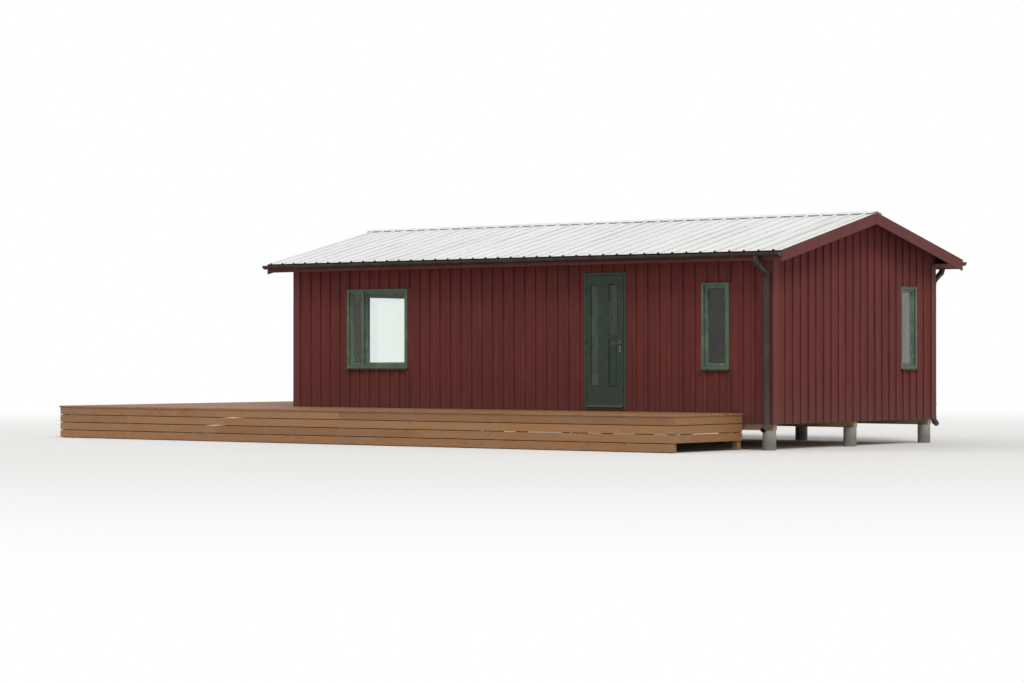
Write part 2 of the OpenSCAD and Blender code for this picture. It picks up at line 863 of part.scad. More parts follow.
// Joists with the packing blocks that hold them off the cladding
module terrace_frame_front() {
    color("tan") {
        joist_grid([tx_left + frame_in, ty_front + frame_in],
                   [tx_right - frame_in, ty_wall], z_tjoist, terrace_joist_h);
        for (x = spread(-x_out + corner_w + pack_w, tx_right - frame_in - pack_w, pack_gap))
            block([x - pack_w / 2, ty_wall, z_tjoist],
                  [x + pack_w / 2, -y_out, z_tjoist + terrace_joist_h]);
    }
}

module terrace_frame_side() {
    color("tan") joist_grid([tx_left + frame_in, ty_wall + butt],
                            [tx_wall, y_out - frame_in], z_tjoist, terrace_joist_h);
}

module terrace_deck_front() {
    color("burlywood")
        block([tx_left, ty_front, z_deck - board_t], [tx_right, ty_wall, z_deck]);
}

module terrace_deck_side() {
    color("burlywood")
        block([tx_left, ty_wall, z_deck - board_t], [tx_wall, y_out, z_deck]);
}

// Row of horizontal boards under the edge of the deck, from the top down
module skirt_boards(low, high, n) {
    for (i = [0 : n - 1]) {
        z = z_deck - board_t - (i + 1) * skirt_w - i * skirt_gap;
        block([low[0], low[1], z], [high[0], high[1], z + skirt_w]);
    }
}

module terrace_skirt() {
    x0 = tx_left + nosing;
    x1 = tx_right - nosing;
    y0 = ty_front + nosing;
    y1 = y_out - nosing;
    color("burlywood") {
        skirt_boards([x0, y0], [x1, y0 + skirt_t], skirt_n);
        skirt_boards([x0, y0 + skirt_t + butt], [x0 + skirt_t, y1], skirt_n);
        skirt_boards([x0 + skirt_t + butt, y1 - skirt_t], [tx_wall, y1], skirt_n);
        skirt_boards([x1 - skirt_t, y0 + skirt_t + butt], [x1, ty_wall], skirt_n - 1);
    }
}

foundation_piers();
bearers();
floor_joists();
floor_boards();  // floor
front_wall_left();
front_wall_right();
front_wall_over_door();
back_wall();
left_gable_wall();
right_gable_wall();
front_cladding_left();
front_cladding_right();
front_cladding_at_door();
back_cladding();
left_gable_cladding();
right_gable_cladding();
corner_boards();
ceiling();
roof_trusses();
roof_boards(-1);  // roof_boards_front
roof_boards(1);  // roof_boards_back
roof_sheets(-1);  // roof_sheets_front
roof_sheets(1);  // roof_sheets_back
ridge_cap();
eaves();
barge_boards();
gutters();
downpipes();
door_frame();
door_frame_hinges();
door_leaf();
door_glass();
door_handle();
door_leaf_hinges();
front_windows();
back_windows();
gable_windows();
window_sills();
window_glass();
terrace_posts();
terrace_frame_front();
terrace_frame_side();
terrace_deck_front();
terrace_deck_side();
terrace_skirt();
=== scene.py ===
import math
import random
import bpy
import bmesh
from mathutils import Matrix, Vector


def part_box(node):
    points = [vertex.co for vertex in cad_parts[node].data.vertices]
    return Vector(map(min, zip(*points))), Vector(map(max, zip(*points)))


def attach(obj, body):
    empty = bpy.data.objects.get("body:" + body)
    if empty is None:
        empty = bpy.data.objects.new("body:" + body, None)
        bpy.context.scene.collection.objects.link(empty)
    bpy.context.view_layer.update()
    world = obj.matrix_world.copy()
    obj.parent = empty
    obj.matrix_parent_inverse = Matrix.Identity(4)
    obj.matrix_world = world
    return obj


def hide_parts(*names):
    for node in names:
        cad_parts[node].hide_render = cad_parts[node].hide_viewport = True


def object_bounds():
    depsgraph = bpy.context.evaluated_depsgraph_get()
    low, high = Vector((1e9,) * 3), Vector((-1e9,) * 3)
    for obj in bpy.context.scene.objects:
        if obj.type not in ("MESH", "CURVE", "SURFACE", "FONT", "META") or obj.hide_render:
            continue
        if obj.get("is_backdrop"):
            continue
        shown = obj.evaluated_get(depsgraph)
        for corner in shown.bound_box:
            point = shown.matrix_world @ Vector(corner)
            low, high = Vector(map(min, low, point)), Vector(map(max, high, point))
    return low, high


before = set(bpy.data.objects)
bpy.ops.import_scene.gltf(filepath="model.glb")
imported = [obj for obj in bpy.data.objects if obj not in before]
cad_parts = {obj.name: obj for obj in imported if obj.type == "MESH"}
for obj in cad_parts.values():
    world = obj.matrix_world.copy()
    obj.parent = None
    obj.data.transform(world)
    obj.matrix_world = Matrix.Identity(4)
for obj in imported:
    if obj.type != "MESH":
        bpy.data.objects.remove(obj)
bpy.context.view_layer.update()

# Camera: the photograph's viewpoint, 45 m from the cabin and 1.4 m above the ground. A long
# lens fills the frame with the cabin and its terrace.

scene = bpy.context.scene
scene.view_settings.view_transform = "Standard"
viewpoint = Vector((26.4, -36.4, 1.37))
look_at = Vector((-1.62, -0.45, 1.62))
camera = bpy.data.objects.new("camera", bpy.data.cameras.new("camera"))
camera.data.lens = 97
camera.data.clip_end = 600
camera.location = viewpoint
camera.rotation_euler = (look_at - viewpoint).to_track_quat("-Z", "Y").to_euler()
scene.collection.objects.link(camera)
scene.camera = camera

# Studio light: one broad soft lamp high on the right, a weaker one on the left, and an even
# pale surround that gives the rest. The eye, metal and glass all see the surround as white.


def node_in(tree, kind, inputs=None, **settings):
    """Adds a node to a tree. inputs holds plain values, or the sockets that feed them."""
    made = tree.nodes.new(kind)
    for name, value in settings.items():
        setattr(made, name, value)
    for name, value in (inputs or {}).items():
        if isinstance(value, bpy.types.NodeSocket):
            tree.links.new(value, made.inputs[name])
        else:
            made.inputs[name].default_value = value
    return made


def maths(tree, operation, *values):
    """Result of one sum on plain values or sockets."""
    return node_in(tree, "ShaderNodeMath", dict(enumerate(values)), operation=operation).outputs[0]


def either(tree, share, first, second):
    """The first shader where share is 0 and the second where it is 1."""
    return node_in(tree, "ShaderNodeMixShader", {0: share, 1: first, 2: second}).outputs[0]


def soft_sun(name, strength, spread_deg, azimuth_deg, height_deg):
    """A lamp at infinity. The azimuth turns from -Y towards +X."""
    lamp = bpy.data.lights.new(name, "SUN")
    lamp.energy = strength
    lamp.angle = math.radians(spread_deg)
    holder = bpy.data.objects.new(name, lamp)
    holder.rotation_euler = (math.radians(90 - height_deg), 0, math.radians(azimuth_deg))
    scene.collection.objects.link(holder)


soft_sun("key", strength=1.6, spread_deg=24, azimuth_deg=56, height_deg=44)
soft_sun("fill", strength=0.4, spread_deg=50, azimuth_deg=-50, height_deg=30)

world = bpy.data.worlds.new("studio")
world.use_nodes = True
tree = world.node_tree
tree.nodes.clear()
ray = node_in(tree, "ShaderNodeLightPath").outputs
direct = maths(tree, "MAXIMUM", ray["Is Camera Ray"], ray["Is Transmission Ray"])
direct = maths(tree, "MAXIMUM", direct, ray["Is Glossy Ray"])
surround = node_in(
    tree, "ShaderNodeBackground", {"Color": (1.0, 0.99, 0.975, 1), "Strength": 0.62}).outputs[0]
white = node_in(tree, "ShaderNodeBackground", {"Color": (1, 1, 1, 1), "Strength": 1}).outputs[0]
node_in(tree, "ShaderNodeOutputWorld", {"Surface": either(tree, direct, surround, white)})
scene.world = world

# Floor: a plain pale ground that fades to white away from the cabin, so no horizon shows.
# It keeps the cabin's shadow.


def object_spot(tree):
    """The object's own coordinates, in metres."""
    return node_in(tree, "ShaderNodeTexCoord").outputs["Object"]


def faded(tree, value, start, end, smooth=True):
    """0 where value is at start and 1 where it is at end."""
    return node_in(tree, "ShaderNodeMapRange", {"Value": value, "From Min": start, "From Max": end},
                   interpolation_type="SMOOTHSTEP" if smooth else "LINEAR").outputs["Result"]


floor_reach = 260
fade_start, fade_end = 9, 30
pale = bpy.data.materials.new("studio_floor")
pale.use_nodes = True
tree = pale.node_tree
tree.nodes.clear()
away = node_in(tree, "ShaderNodeVectorMath", {0: object_spot(tree)}, operation="LENGTH").outputs["Value"]
bounced = node_in(tree, "ShaderNodeLightPath").outputs["Is Diffuse Ray"]
fade = maths(
    tree, "MULTIPLY", faded(tree, away, fade_start, fade_end), maths(tree, "SUBTRACT", 1.0, bounced))
ground = node_in(tree, "ShaderNodeBsdfDiffuse", {"Color": (0.8, 0.8, 0.79, 1)}).outputs[0]
blank = node_in(tree, "ShaderNodeEmission", {"Strength": 1}).outputs[0]
node_in(tree, "ShaderNodeOutputMaterial", {"Surface": either(tree, fade, ground, blank)})
sheet = bpy.data.meshes.new("studio_floor")
sheet.from_pydata(
    [(x * floor_reach, y * floor_reach, 0) for x, y in ((-1, -1), (1, -1), (1, 1), (-1, 1))], [],
    [(0, 1, 2, 3)])
sheet.materials.append(pale)
studio_floor = bpy.data.objects.new("studio_floor", sheet)
scene.collection.objects.link(studio_floor)
studio_floor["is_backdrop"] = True

# Foundation piers: round blocks of cast concrete in three rows under the floor frame, cast
# in card tubes, so they have small air holes and a darker, splashed foot.


def add_inputs(tree, kinds):
    """Gives a tree its named inputs; returns the identifier of each."""
    known = {}
    for name, kind in kinds.items():
        socket = tree.interface.new_socket(
            name.replace("_", " "), in_out="INPUT", socket_type="NodeSocket" + kind)
        known[name] = socket.identifier
    return known


def new_group(name, outputs, **inputs):
    """An empty shader group; returns its tree, its inputs, and the ends of its outputs."""
    group = bpy.data.node_groups.new(name, "ShaderNodeTree")
    add_inputs(group, inputs)
    for label in outputs:
        group.interface.new_socket(label, in_out="OUTPUT", socket_type="NodeSocketFloat")
    return (group, node_in(group, "NodeGroupInput").outputs, node_in(group, "NodeGroupOutput").inputs)


def use_group(tree, group, **inputs):
    """Places a shader group in a material's tree."""
    return node_in(tree, "ShaderNodeGroup", inputs, node_tree=group).outputs


def on_axes(tree, operation, *vectors):
    """Result of one sum on each axis of some vectors."""
    return node_in(tree, "ShaderNodeVectorMath", dict(enumerate(vectors)), operation=operation).outputs[0]


def stretched(tree, scale, vector):
    """Coordinates multiplied on each axis."""
    return on_axes(tree, "MULTIPLY", vector, scale)


def noise(tree, vector, scale, detail=3.0, rough=0.55):
    """Noise from 0 to 1 on the given coordinates."""
    return node_in(tree, "ShaderNodeTexNoise",
                   {"Vector": vector, "Scale": scale, "Detail": detail,
                    "Roughness": rough}).outputs["Fac"]


def ranged(tree, value, start, span):
    """A value from 0 to 1, spread from start over span."""
    return maths(tree, "ADD", start, maths(tree, "MULTIPLY", value, span))


def tinted(tree, amount, colour, other):
    """A colour turned towards another by amount."""
    return node_in(tree, "ShaderNodeMix", {0: amount, 6: colour, 7: other}, data_type="RGBA").outputs[2]


def stained(tree, mask, amount, colour, stain):
    """A colour stained by amount where the mask is 1."""
    return tinted(tree, maths(tree, "MULTIPLY", mask, amount), colour, stain)


def new_finish(name, **constants):
    """A material with one Principled shader; constants are its plain values."""
    made = bpy.data.materials.new(name)
    made.use_nodes = True
    shader = made.node_tree.nodes["Principled BSDF"].inputs
    for label, value in constants.items():
        shader[label.replace("_", " ")].default_value = value
    return made, made.node_tree


def finished(tree, colour, roughness=None, height=None, distance=None):
    """Feeds the Principled shader. The surface is raised by height times distance in metres."""
    shader = tree.nodes["Principled BSDF"].inputs
    tree.links.new(colour, shader["Base Color"])
    if roughness:
        tree.links.new(roughness, shader["Roughness"])
    if height:
        bump = node_in(tree, "ShaderNodeBump", {"Height": height, "Distance": distance, "Strength": 1.0})
        tree.links.new(bump.outputs["Normal"], shader["Normal"])


splash, given, out = new_group("ground_splash", ["Mask"], Reach="Float", Amount="Float")
spot = object_spot(splash)
height = node_in(splash, "ShaderNodeSeparateXYZ", {0: spot}).outputs["Z"]
ragged = noise(splash, stretched(splash, (5, 5, 2), spot), 1.0, 4)
level = maths(splash, "ADD", height, maths(splash, "MULTIPLY", ragged, -0.25))
near = faded(splash, level, given["Reach"], 0.0, smooth=False)
splash.links.new(maths(splash, "MULTIPLY", near, given["Amount"]), out["Mask"])


def splashed(tree, colour, reach, amount, mud):
    """A colour with mud splashed up to a height above the ground."""
    return tinted(tree, use_group(tree, splash, Reach=reach, Amount=amount)["Mask"], colour, mud)


def dress(node, finish):
    """Gives a CAD node one material."""
    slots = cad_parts[node].data.materials
    slots.clear()
    slots.append(finish)


concrete, tree = new_finish("cast_concrete", Roughness=0.92)
spot = object_spot(tree)
colour = tinted(tree, noise(tree, spot, 7, 6, 0.62), (0.25, 0.245, 0.23, 1), (0.46, 0.45, 0.42, 1))
colour = splashed(tree, colour, 0.3, 0.75, (0.12, 0.10, 0.075, 1))
grit = noise(tree, spot, 160, 3)
air_holes = node_in(tree, "ShaderNodeTexVoronoi", {"Vector": spot, "Scale": 60}).outputs["Distance"]
relief = maths(tree, "ADD", maths(tree, "MULTIPLY", grit, 0.4), faded(tree, air_holes, 0.10, 0.17))
finished(tree, colour, height=relief, distance=0.002)
dress("foundation_piers", concrete)

# Floor frame: sawn spruce bearers on the piers and joists across them, nailed together, left
# as they came from the saw and gone a little grey.

fibre, given, out = new_group("wood_fibre", ["Figure", "Fibre", "Knots"], Stretch="Vector", Shift="Float")
shift = node_in(fibre, "ShaderNodeVectorMath", {0: (31.7, 17.3, 23.9), "Scale": given["Shift"]},
                operation="SCALE").outputs[0]
spot = on_axes(fibre, "ADD", object_spot(fibre), shift)
drawn = stretched(fibre, given["Stretch"], spot)
rings = maths(fibre, "MULTIPLY", noise(fibre, drawn, 0.55, 1.5, 0.4), 95)
knot_stretch = on_axes(fibre, "MULTIPLY_ADD", given["Stretch"], (0.5, 0.5, 0.5), (4, 4, 4))
cells = node_in(
    fibre, "ShaderNodeTexVoronoi", {"Vector": stretched(fibre, knot_stretch, spot), "Scale": 1.0}).outputs
chance = node_in(fibre, "ShaderNodeSeparateColor", {0: cells["Color"]}).outputs[0]
knots = maths(fibre, "MULTIPLY", faded(fibre, cells["Distance"], 0.15, 0.07),
              maths(fibre, "GREATER_THAN", chance, 0.66))
figure = maths(fibre, "MULTIPLY_ADD", maths(fibre, "SINE", rings), 0.5, 0.5)
fibre.links.new(figure, out["Figure"])
fibre.links.new(noise(fibre, drawn, 14, 4, 0.6), out["Fibre"])
fibre.links.new(knots, out["Knots"])

stretch_along = {"X": (1, 14, 14), "Y": (14, 1, 14), "Z": (14, 14, 1)}


def toned(colour, factor, lift=0.0):
    """A colour made deeper or paler."""
    return tuple(min(1.0, factor * channel + lift) for channel in colour[:3]) + (1,)


def board_tone(tree):
    """The number from 0 to 1 that each laid board carries."""
    return node_in(tree, "ShaderNodeAttribute", attribute_name="tone").outputs["Fac"]


def timber(name, pale, dark, along, roughness, relief, grey=0.0, dirt=0.0, spread=0.5):
    """Bare wood whose grain runs along one axis. spread is how much one board differs from
    the next."""
    made, tree = new_finish(name)
    tone = board_tone(tree)
    grain = use_group(tree, fibre, Stretch=stretch_along[along], Shift=tone)
    bands = maths(tree, "ADD", maths(tree, "MULTIPLY", grain["Figure"], 0.45),
                  maths(tree, "MULTIPLY", grain["Fibre"], 0.55))
    colour = tinted(tree, bands, pale, dark)
    board = maths(tree, "MULTIPLY", maths(tree, "SUBTRACT", tone, 0.5), spread)
    colour = tinted(tree, maths(tree, "MAXIMUM", board, 0.0), colour, dark)
    board = maths(tree, "MAXIMUM", maths(tree, "MULTIPLY", board, -1.0), 0.0)
    colour = tinted(tree, board, colour, pale)
    colour = stained(tree, grain["Knots"], 0.75, colour, toned(dark, 0.35))
    patch = faded(tree, noise(tree, object_spot(tree), 1.7, 5), 0.35, 0.7)
    colour = stained(tree, patch, grey, colour, (0.23, 0.215, 0.19, 1))
    if dirt:
        colour = splashed(tree, colour, 0.45, dirt, (0.10, 0.085, 0.06, 1))
    raised = maths(tree, "SUBTRACT", grain["Fibre"], grain["Knots"])
    finished(tree, colour, ranged(tree, grain["Fibre"], roughness - 0.1, 0.2), raised, relief)
    return made


spruce = ((0.50, 0.36, 0.21, 1), (0.33, 0.21, 0.11, 1))
dress("bearers", timber("sawn_spruce_x", *spruce, "X", 0.85, 0.0012, grey=0.5, dirt=0.4))
dress("floor_joists", timber("sawn_spruce_y", *spruce, "Y", 0.85, 0.0012, grey=0.4))

# Floor: planed pine boards nailed across the joists, with a fine gap at each joint, lacquered
# on the room's side.


def fresh_object(name, mesh):
    """Adds a mesh to the scene as an object at the origin."""
    made = bpy.data.objects.new(name, mesh)
    scene.collection.objects.link(made)
    return made


def settled(piece):
    """Turns a piece's modifiers into plain mesh."""
    graph = bpy.context.evaluated_depsgraph_get()
    mesh = bpy.data.meshes.new_from_object(
        piece.evaluated_get(graph), depsgraph=graph, preserve_all_data_layers=True)
    piece.modifiers.clear()
    piece.data = mesh
    return piece


def kept(piece, body, slot, *nodes):
    """Hands a finished piece to its body, in place of the CAD nodes named. slot is not used."""
    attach(piece, body)
    if nodes:
        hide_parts(*nodes)


def new_geometry_tree(name, **inputs):
    """An empty Geometry Nodes tree; returns it, its inputs, and their identifiers."""
    tree = bpy.data.node_groups.new(name, "GeometryNodeTree")
    known = add_inputs(tree, {"Geometry": "Geometry", **inputs})
    tree.interface.new_socket("Geometry", in_out="OUTPUT", socket_type="NodeSocketGeometry")
    return tree, node_in(tree, "NodeGroupInput").outputs, known


def end_tree(tree, points, instance, turn, scale, finish):
    """Ends a tree: an instance on each point, made real, then given its material."""
    rotation = node_in(tree, "FunctionNodeEulerToRotation", {0: turn}).outputs[0]
    set_out = node_in(tree, "GeometryNodeInstanceOnPoints",
                      {"Points": points, "Instance": instance, "Rotation": rotation,
                       "Scale": scale}).outputs[0]
    real = node_in(tree, "GeometryNodeRealizeInstances", {0: set_out}).outputs[0]
    set_finish = node_in(tree, "GeometryNodeSetMaterial", {"Geometry": real, "Material": finish})
    node_in(tree, "NodeGroupOutput", {0: set_finish.outputs[0]})


def grown(name, tree, known, spots, **values):
    """Runs a tree on a mesh of points and keeps the result as a plain mesh.

    spots is a list of places, or of (place, run) where each copy has its own length.
    """
    points = bpy.data.meshes.new(name)
    with_runs = len(spots[0]) == 2
    points.from_pydata([spot[0] if with_runs else spot for spot in spots], [], [])
    if with_runs:
        run = points.attributes.new("run", "FLOAT", "POINT")
        run.data.foreach_set("value", [spot[1] for spot in spots])
    piece = fresh_object(name, points)
    modifier = piece.modifiers.new("set_out", "NODES")
    modifier.node_group = tree
    for label, value in values.items():
        modifier[known[label]] = value
    return settled(piece)


boards, given, board_sockets = new_geometry_tree(
    "boards", Width="Float", Thickness="Float", Chamfer="Float", Turn="Vector", Seed="Int",
    Finish="Material")
section = node_in(boards, "GeometryNodeCurvePrimitiveQuadrilateral",
                  {0: given["Width"], 1: given["Thickness"]}).outputs[0]
section = node_in(
    boards, "GeometryNodeFilletCurve", {"Curve": section, "Count": 1, "Radius": given["Chamfer"]},
    mode="POLY").outputs[0]
length = node_in(boards, "GeometryNodeCurvePrimitiveLine", {"End": (0, 0, 1)}).outputs[0]
board = node_in(boards, "GeometryNodeCurveToMesh",
                {"Curve": length, "Profile Curve": section, "Fill Caps": True}).outputs[0]
board = node_in(boards, "GeometryNodeSetShadeSmooth",
                {"Geometry": board, "Shade Smooth": False}).outputs[0]
tone = node_in(boards, "FunctionNodeRandomValue", {"Seed": given["Seed"]}, data_type="FLOAT").outputs[1]
points = node_in(boards, "GeometryNodeStoreNamedAttribute",
                 {"Geometry": given["Geometry"], "Name": "tone", "Value": tone},
                 data_type="FLOAT", domain="POINT").outputs[0]
run = node_in(boards, "GeometryNodeInputNamedAttribute", {"Name": "run"},
              data_type="FLOAT").outputs["Attribute"]
reach = node_in(boards, "ShaderNodeCombineXYZ", {"X": 1.0, "Y": 1.0, "Z": run}).outputs[0]
end_tree(boards, points, board, given["Turn"], reach, given["Finish"])


def laid(name, spots, slot, *nodes, **sizes):
    """Boards of one section, one from each spot, in place of the CAD nodes named."""
    kept(grown(name, boards, board_sockets, spots, **sizes), "cabin", slot, *nodes)


# A board stands on Z as drawn; these turns lay it along X or Y, or turn its face to the side
along_x_turn = (math.pi / 2, 0, math.pi / 2)
along_y_turn = (-math.pi / 2, 0, 0)
side_turn = (0, 0, math.pi / 2)

random.seed(7)
low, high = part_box("floor")
floor_rows = 36
floor_pitch = (high.y - low.y) / floor_rows
floor_joint = 0.0012
longest_board = 4.2
shortest_board = 0.4
spots = []
for row in range(floor_rows):
    at = low.x
    step = random.choice([1.8, 2.4, 3.0, 3.6, longest_board])
    while at < high.x:
        end = high.x if high.x - at - step < shortest_board else at + step
        joint = floor_joint if end < high.x else 0
        place = (at, low.y + (row + 0.5) * floor_pitch, (low.z + high.z) / 2)
        spots.append((place, end - at - joint))
        at = end
        step = longest_board
lacquered_pine = timber(
    "lacquered_pine", (0.56, 0.36, 0.17, 1), (0.38, 0.21, 0.085, 1), "X", 0.32, 0.0006)
laid("floorboards", spots, "floorboards", "floor", Width=floor_pitch - floor_joint,
     Thickness=high.z - low.z, Chamfer=0.0015, Turn=along_x_turn, Seed=3, Finish=lacquered_pine)

# Lining: upright tongue-and-groove pine boards inside the stud walls, and the same boards on
# the ceiling, nailed through the tongue and left clear.

lining_wide = 0.095


def white_noise(tree, number):
    """A chance value from 0 to 1 for each whole number."""
    return node_in(tree, "ShaderNodeTexWhiteNoise", {"W": number}, noise_dimensions="1D").outputs["Value"]


def from_middle(tree, value):
    """How far a value lies from the middle between two whole numbers, from 0 to 0.5."""
    off = maths(tree, "SUBTRACT", maths(tree, "FRACT", value), 0.5)
    return maths(tree, "ABSOLUTE", off)


def pine_lining(across):
    """Matt pine boards that lie side by side along one axis."""
    made, tree = new_finish("pine_lining_" + across.lower(), Roughness=0.55)
    place = node_in(tree, "ShaderNodeSeparateXYZ", {0: object_spot(tree)}).outputs[across]
    place = maths(tree, "DIVIDE", place, lining_wide)
    tone = white_noise(tree, maths(tree, "FLOOR", place))
    grain = use_group(tree, fibre, Stretch=stretch_along["Z"], Shift=tone)
    colour = stained(tree, grain["Figure"], 0.5, (0.60, 0.45, 0.27, 1), (0.42, 0.27, 0.13, 1))
    colour = stained(tree, tone, 0.35, colour, (0.50, 0.36, 0.20, 1))
    colour = stained(tree, grain["Knots"], 0.7, colour, (0.16, 0.075, 0.03, 1))
    edge = maths(tree, "SUBTRACT", 0.5, from_middle(tree, place))
    colour = tinted(tree, faded(tree, edge, 0.03, 0.0), colour, (0.10, 0.055, 0.025, 1))
    finished(tree, colour, height=faded(tree, edge, 0.0, 0.06), distance=0.004)
    return made


lining_x = pine_lining("X")
lining_y = pine_lining("Y")
for wall in ("front_wall_left", "front_wall_right", "front_wall_over_door", "back_wall"):
    dress(wall, lining_x)
for wall in ("left_gable_wall", "right_gable_wall", "ceiling"):
    dress(wall, lining_y)

# Cladding: upright sawn boards nailed to the studs, and narrow cover battens over their joints.
# It is brushed with matt red slurry paint, which lets the saw marks show and fades in streaks.


def red_paint(name, red, along, roughness, relief, chalk, dirt):
    """Red paint on wood. chalk is how much it has faded, dirt how much is splashed on it."""
    made, tree = new_finish(name)
    spot = object_spot(tree)
    tone = board_tone(tree)
    grain = use_group(tree, fibre, Stretch=stretch_along[along], Shift=tone)
    deep_red = toned(red, 0.55)
    colour = stained(tree, tone, 0.35, red, deep_red)
    board = noise(tree, stretched(tree, (4.4, 4.4, 0.02), spot), 1.0, 1)
    colour = stained(tree, faded(tree, board, 0.4, 0.62), 0.4, colour, deep_red)
    streak = noise(tree, stretched(tree, (9, 9, 0.9), spot), 1.4, 5, 0.6)
    colour = stained(tree, faded(tree, streak, 0.46, 0.72), chalk, colour, toned(red, 1.5, 0.012))
    colour = stained(tree, grain["Fibre"], 0.28, colour, deep_red)
    colour = stained(tree, grain["Knots"], 0.45, colour, toned(red, 0.3))
    if dirt:
        colour = splashed(tree, colour, 0.75, dirt, (0.075, 0.050, 0.038, 1))
    raised = maths(tree, "SUBTRACT", grain["Fibre"], grain["Knots"])
    finished(tree, colour, ranged(tree, streak, roughness - 0.1, 0.2), raised, relief)
    return made


slurry_red = (0.118, 0.0145, 0.0105, 1)
board_red = red_paint("red_slurry_boards", slurry_red, "Z", 0.9, 0.0011, 0.5, 0.5)
batten_red = red_paint("red_slurry_battens", slurry_red, "Z", 0.88, 0.0011, 0.6, 0.45)
for wall in ("front_cladding_left", "front_cladding_right", "front_cladding_at_door",
             "back_cladding", "left_gable_cladding", "right_gable_cladding"):
    dress(wall, board_red)


def merged(node):
    """A working copy of a CAD node's mesh with its corners joined."""
    work = bmesh.new()
    work.from_mesh(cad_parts[node].data)
    bmesh.ops.remove_doubles(work, verts=work.verts, dist=1e-5)
    return work


def loose_boxes(node):
    """Lowest and highest corners of each separate solid of a CAD node."""
    work = merged(node)
    seen = set()
    found = []
    for start in work.verts:
        if start in seen:
            continue
        seen.add(start)
        solid = [start]
        for corner in solid:
            for edge in corner.link_edges:
                other = edge.other_vert(corner)
                if other not in seen:
                    seen.add(other)
                    solid.append(other)
        found.append((Vector([min(v.co[i] for v in solid) for i in range(3)]),
                      Vector([max(v.co[i] for v in solid) for i in range(3)])))
    work.free()
    return found


def placed(across, depth, along, height):
    """A place on a wall whose axis through it is X (0) or Y (1)."""
    return (depth, along, height) if across == 0 else (along, depth, height)


def wall_at(across, depth):
    """Name of the wall on one side of the house."""
    return (("left", "right") if across == 0 else ("front", "back"))[depth > 0]


# Each wall's axis through it, and the side that it faces
facing = {"front": (1, -1), "back": (1, 1), "left": (0, -1), "right": (0, 1)}
batten_width = 0.048
batten_thick = 0.021
batten_pitch = 0.215
batten_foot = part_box("front_cladding_left")[0].z
batten_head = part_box("corner_boards")[1].z
shortest_batten = 0.03
corner_board = 0.12
roof_pitch = math.radians(13.5)
roof_slope = math.tan(roof_pitch)
house_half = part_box("back_cladding")[1]
deck_low, deck_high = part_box("roof_boards_back")


def roof_underside(y):
    """Height of the roof boards' underside."""
    return deck_low.z + (deck_high.y - abs(y)) * roof_slope


def clear_runs(at, top, holes):
    """Stretches of a batten that miss each hole (from, to, bottom, top)."""
    runs = [(batten_foot, top)]
    for start, end, bottom, head in holes:
        if start - batten_width / 2 < at < end + batten_width / 2:
            runs = [part for a, b in runs for part in ((a, min(b, bottom)), (max(a, head), b))]
    return [(a, b) for a, b in runs if b - a > shortest_batten]


gap = 0.004
sill_drop = 0.026
sill_side = 0.014
below_door = 0.03
holes = {wall: [] for wall in facing}
for node, across in (("front_windows", 1), ("back_windows", 1), ("gable_windows", 0)):
    for low, high in loose_boxes(node):
        start, end = low[1 - across], high[1 - across]
        holes[wall_at(across, low[across])] += [
            (start, end, low.z, high.z + gap),
            (start - sill_side, end + sill_side, low.z - sill_drop, low.z)]
low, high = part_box("door_frame")
holes["front"].append((low.x, high.x, low.z - below_door, high.z + gap))

# The terrace's packing blocks touch the wall, so the battens stop short of them
low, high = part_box("terrace_frame_front")
behind_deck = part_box("terrace_deck_front")[1].y + 0.01
block_edges = sorted({round(corner.co.x, 4)
                      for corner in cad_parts["terrace_frame_front"].data.vertices
                      if corner.co.y > behind_deck})
for start, end in zip(block_edges[::2], block_edges[1::2]):
    holes["front"].append((start, end, low.z - gap, high.z + gap))

batten_runs = {}
for wall, (across, side) in facing.items():
    half_length = house_half[1 - across] - corner_board
    bays = round(2 * half_length / batten_pitch)
    runs = []
    for bay in range(1, bays):
        at = -half_length + bay * 2 * half_length / bays
        top = batten_head
        if across == 0:
            top = roof_underside(abs(at) + batten_width / 2) - gap
        runs += [(at, foot, head) for foot, head in clear_runs(at, top, holes[wall])]
    depth = side * (house_half[across] + batten_thick / 2)
    spots = [(placed(across, depth, at, foot), head - foot) for at, foot, head in runs]
    laid(wall + "_battens", spots, "red_cladding", Width=batten_width, Thickness=batten_thick,
         Chamfer=0.0025, Seed=11, Turn=side_turn if across == 0 else (0, 0, 0), Finish=batten_red)
    batten_runs[wall] = runs

# Nails: round-headed galvanised nails, driven through each batten about every 0.6 m into the
# joint between two boards, and painted over with the wall.

fixings, given, fixing_sockets = new_geometry_tree(
    "fixings", Washer_Radius="Float", Washer_Height="Float", Head_Radius="Float",
    Head_Height="Float", Head_Sides="Int", Turn="Vector", Finish="Material")


def disc(sides, radius, height, narrowing):
    """A plate whose upper face is narrower than its foot."""
    top = maths(fixings, "MULTIPLY", radius, narrowing)
    return node_in(fixings, "GeometryNodeMeshCone",
                   {"Vertices": sides, "Radius Top": top, "Radius Bottom": radius,
                    "Depth": height}).outputs[0]


washer = disc(10, given["Washer Radius"], given["Washer Height"], 0.8)
head = disc(given["Head Sides"], given["Head Radius"], given["Head Height"], 0.85)
lift = node_in(fixings, "ShaderNodeCombineXYZ", {"Z": given["Washer Height"]}).outputs[0]
head = node_in(fixings, "GeometryNodeTransform", {"Geometry": head, "Translation": lift})
both = node_in(fixings, "GeometryNodeJoinGeometry", {0: washer})
fixings.links.new(head.outputs[0], both.inputs[0])
end_tree(fixings, given["Geometry"], both.outputs[0], given["Turn"], (1, 1, 1), given["Finish"])

# Turns that point a fixing's head out of each wall
out_of = {"front": (math.pi / 2, 0, 0), "back": (-math.pi / 2, 0, 0),
          "left": (0, -math.pi / 2, 0), "right": (0, math.pi / 2, 0)}


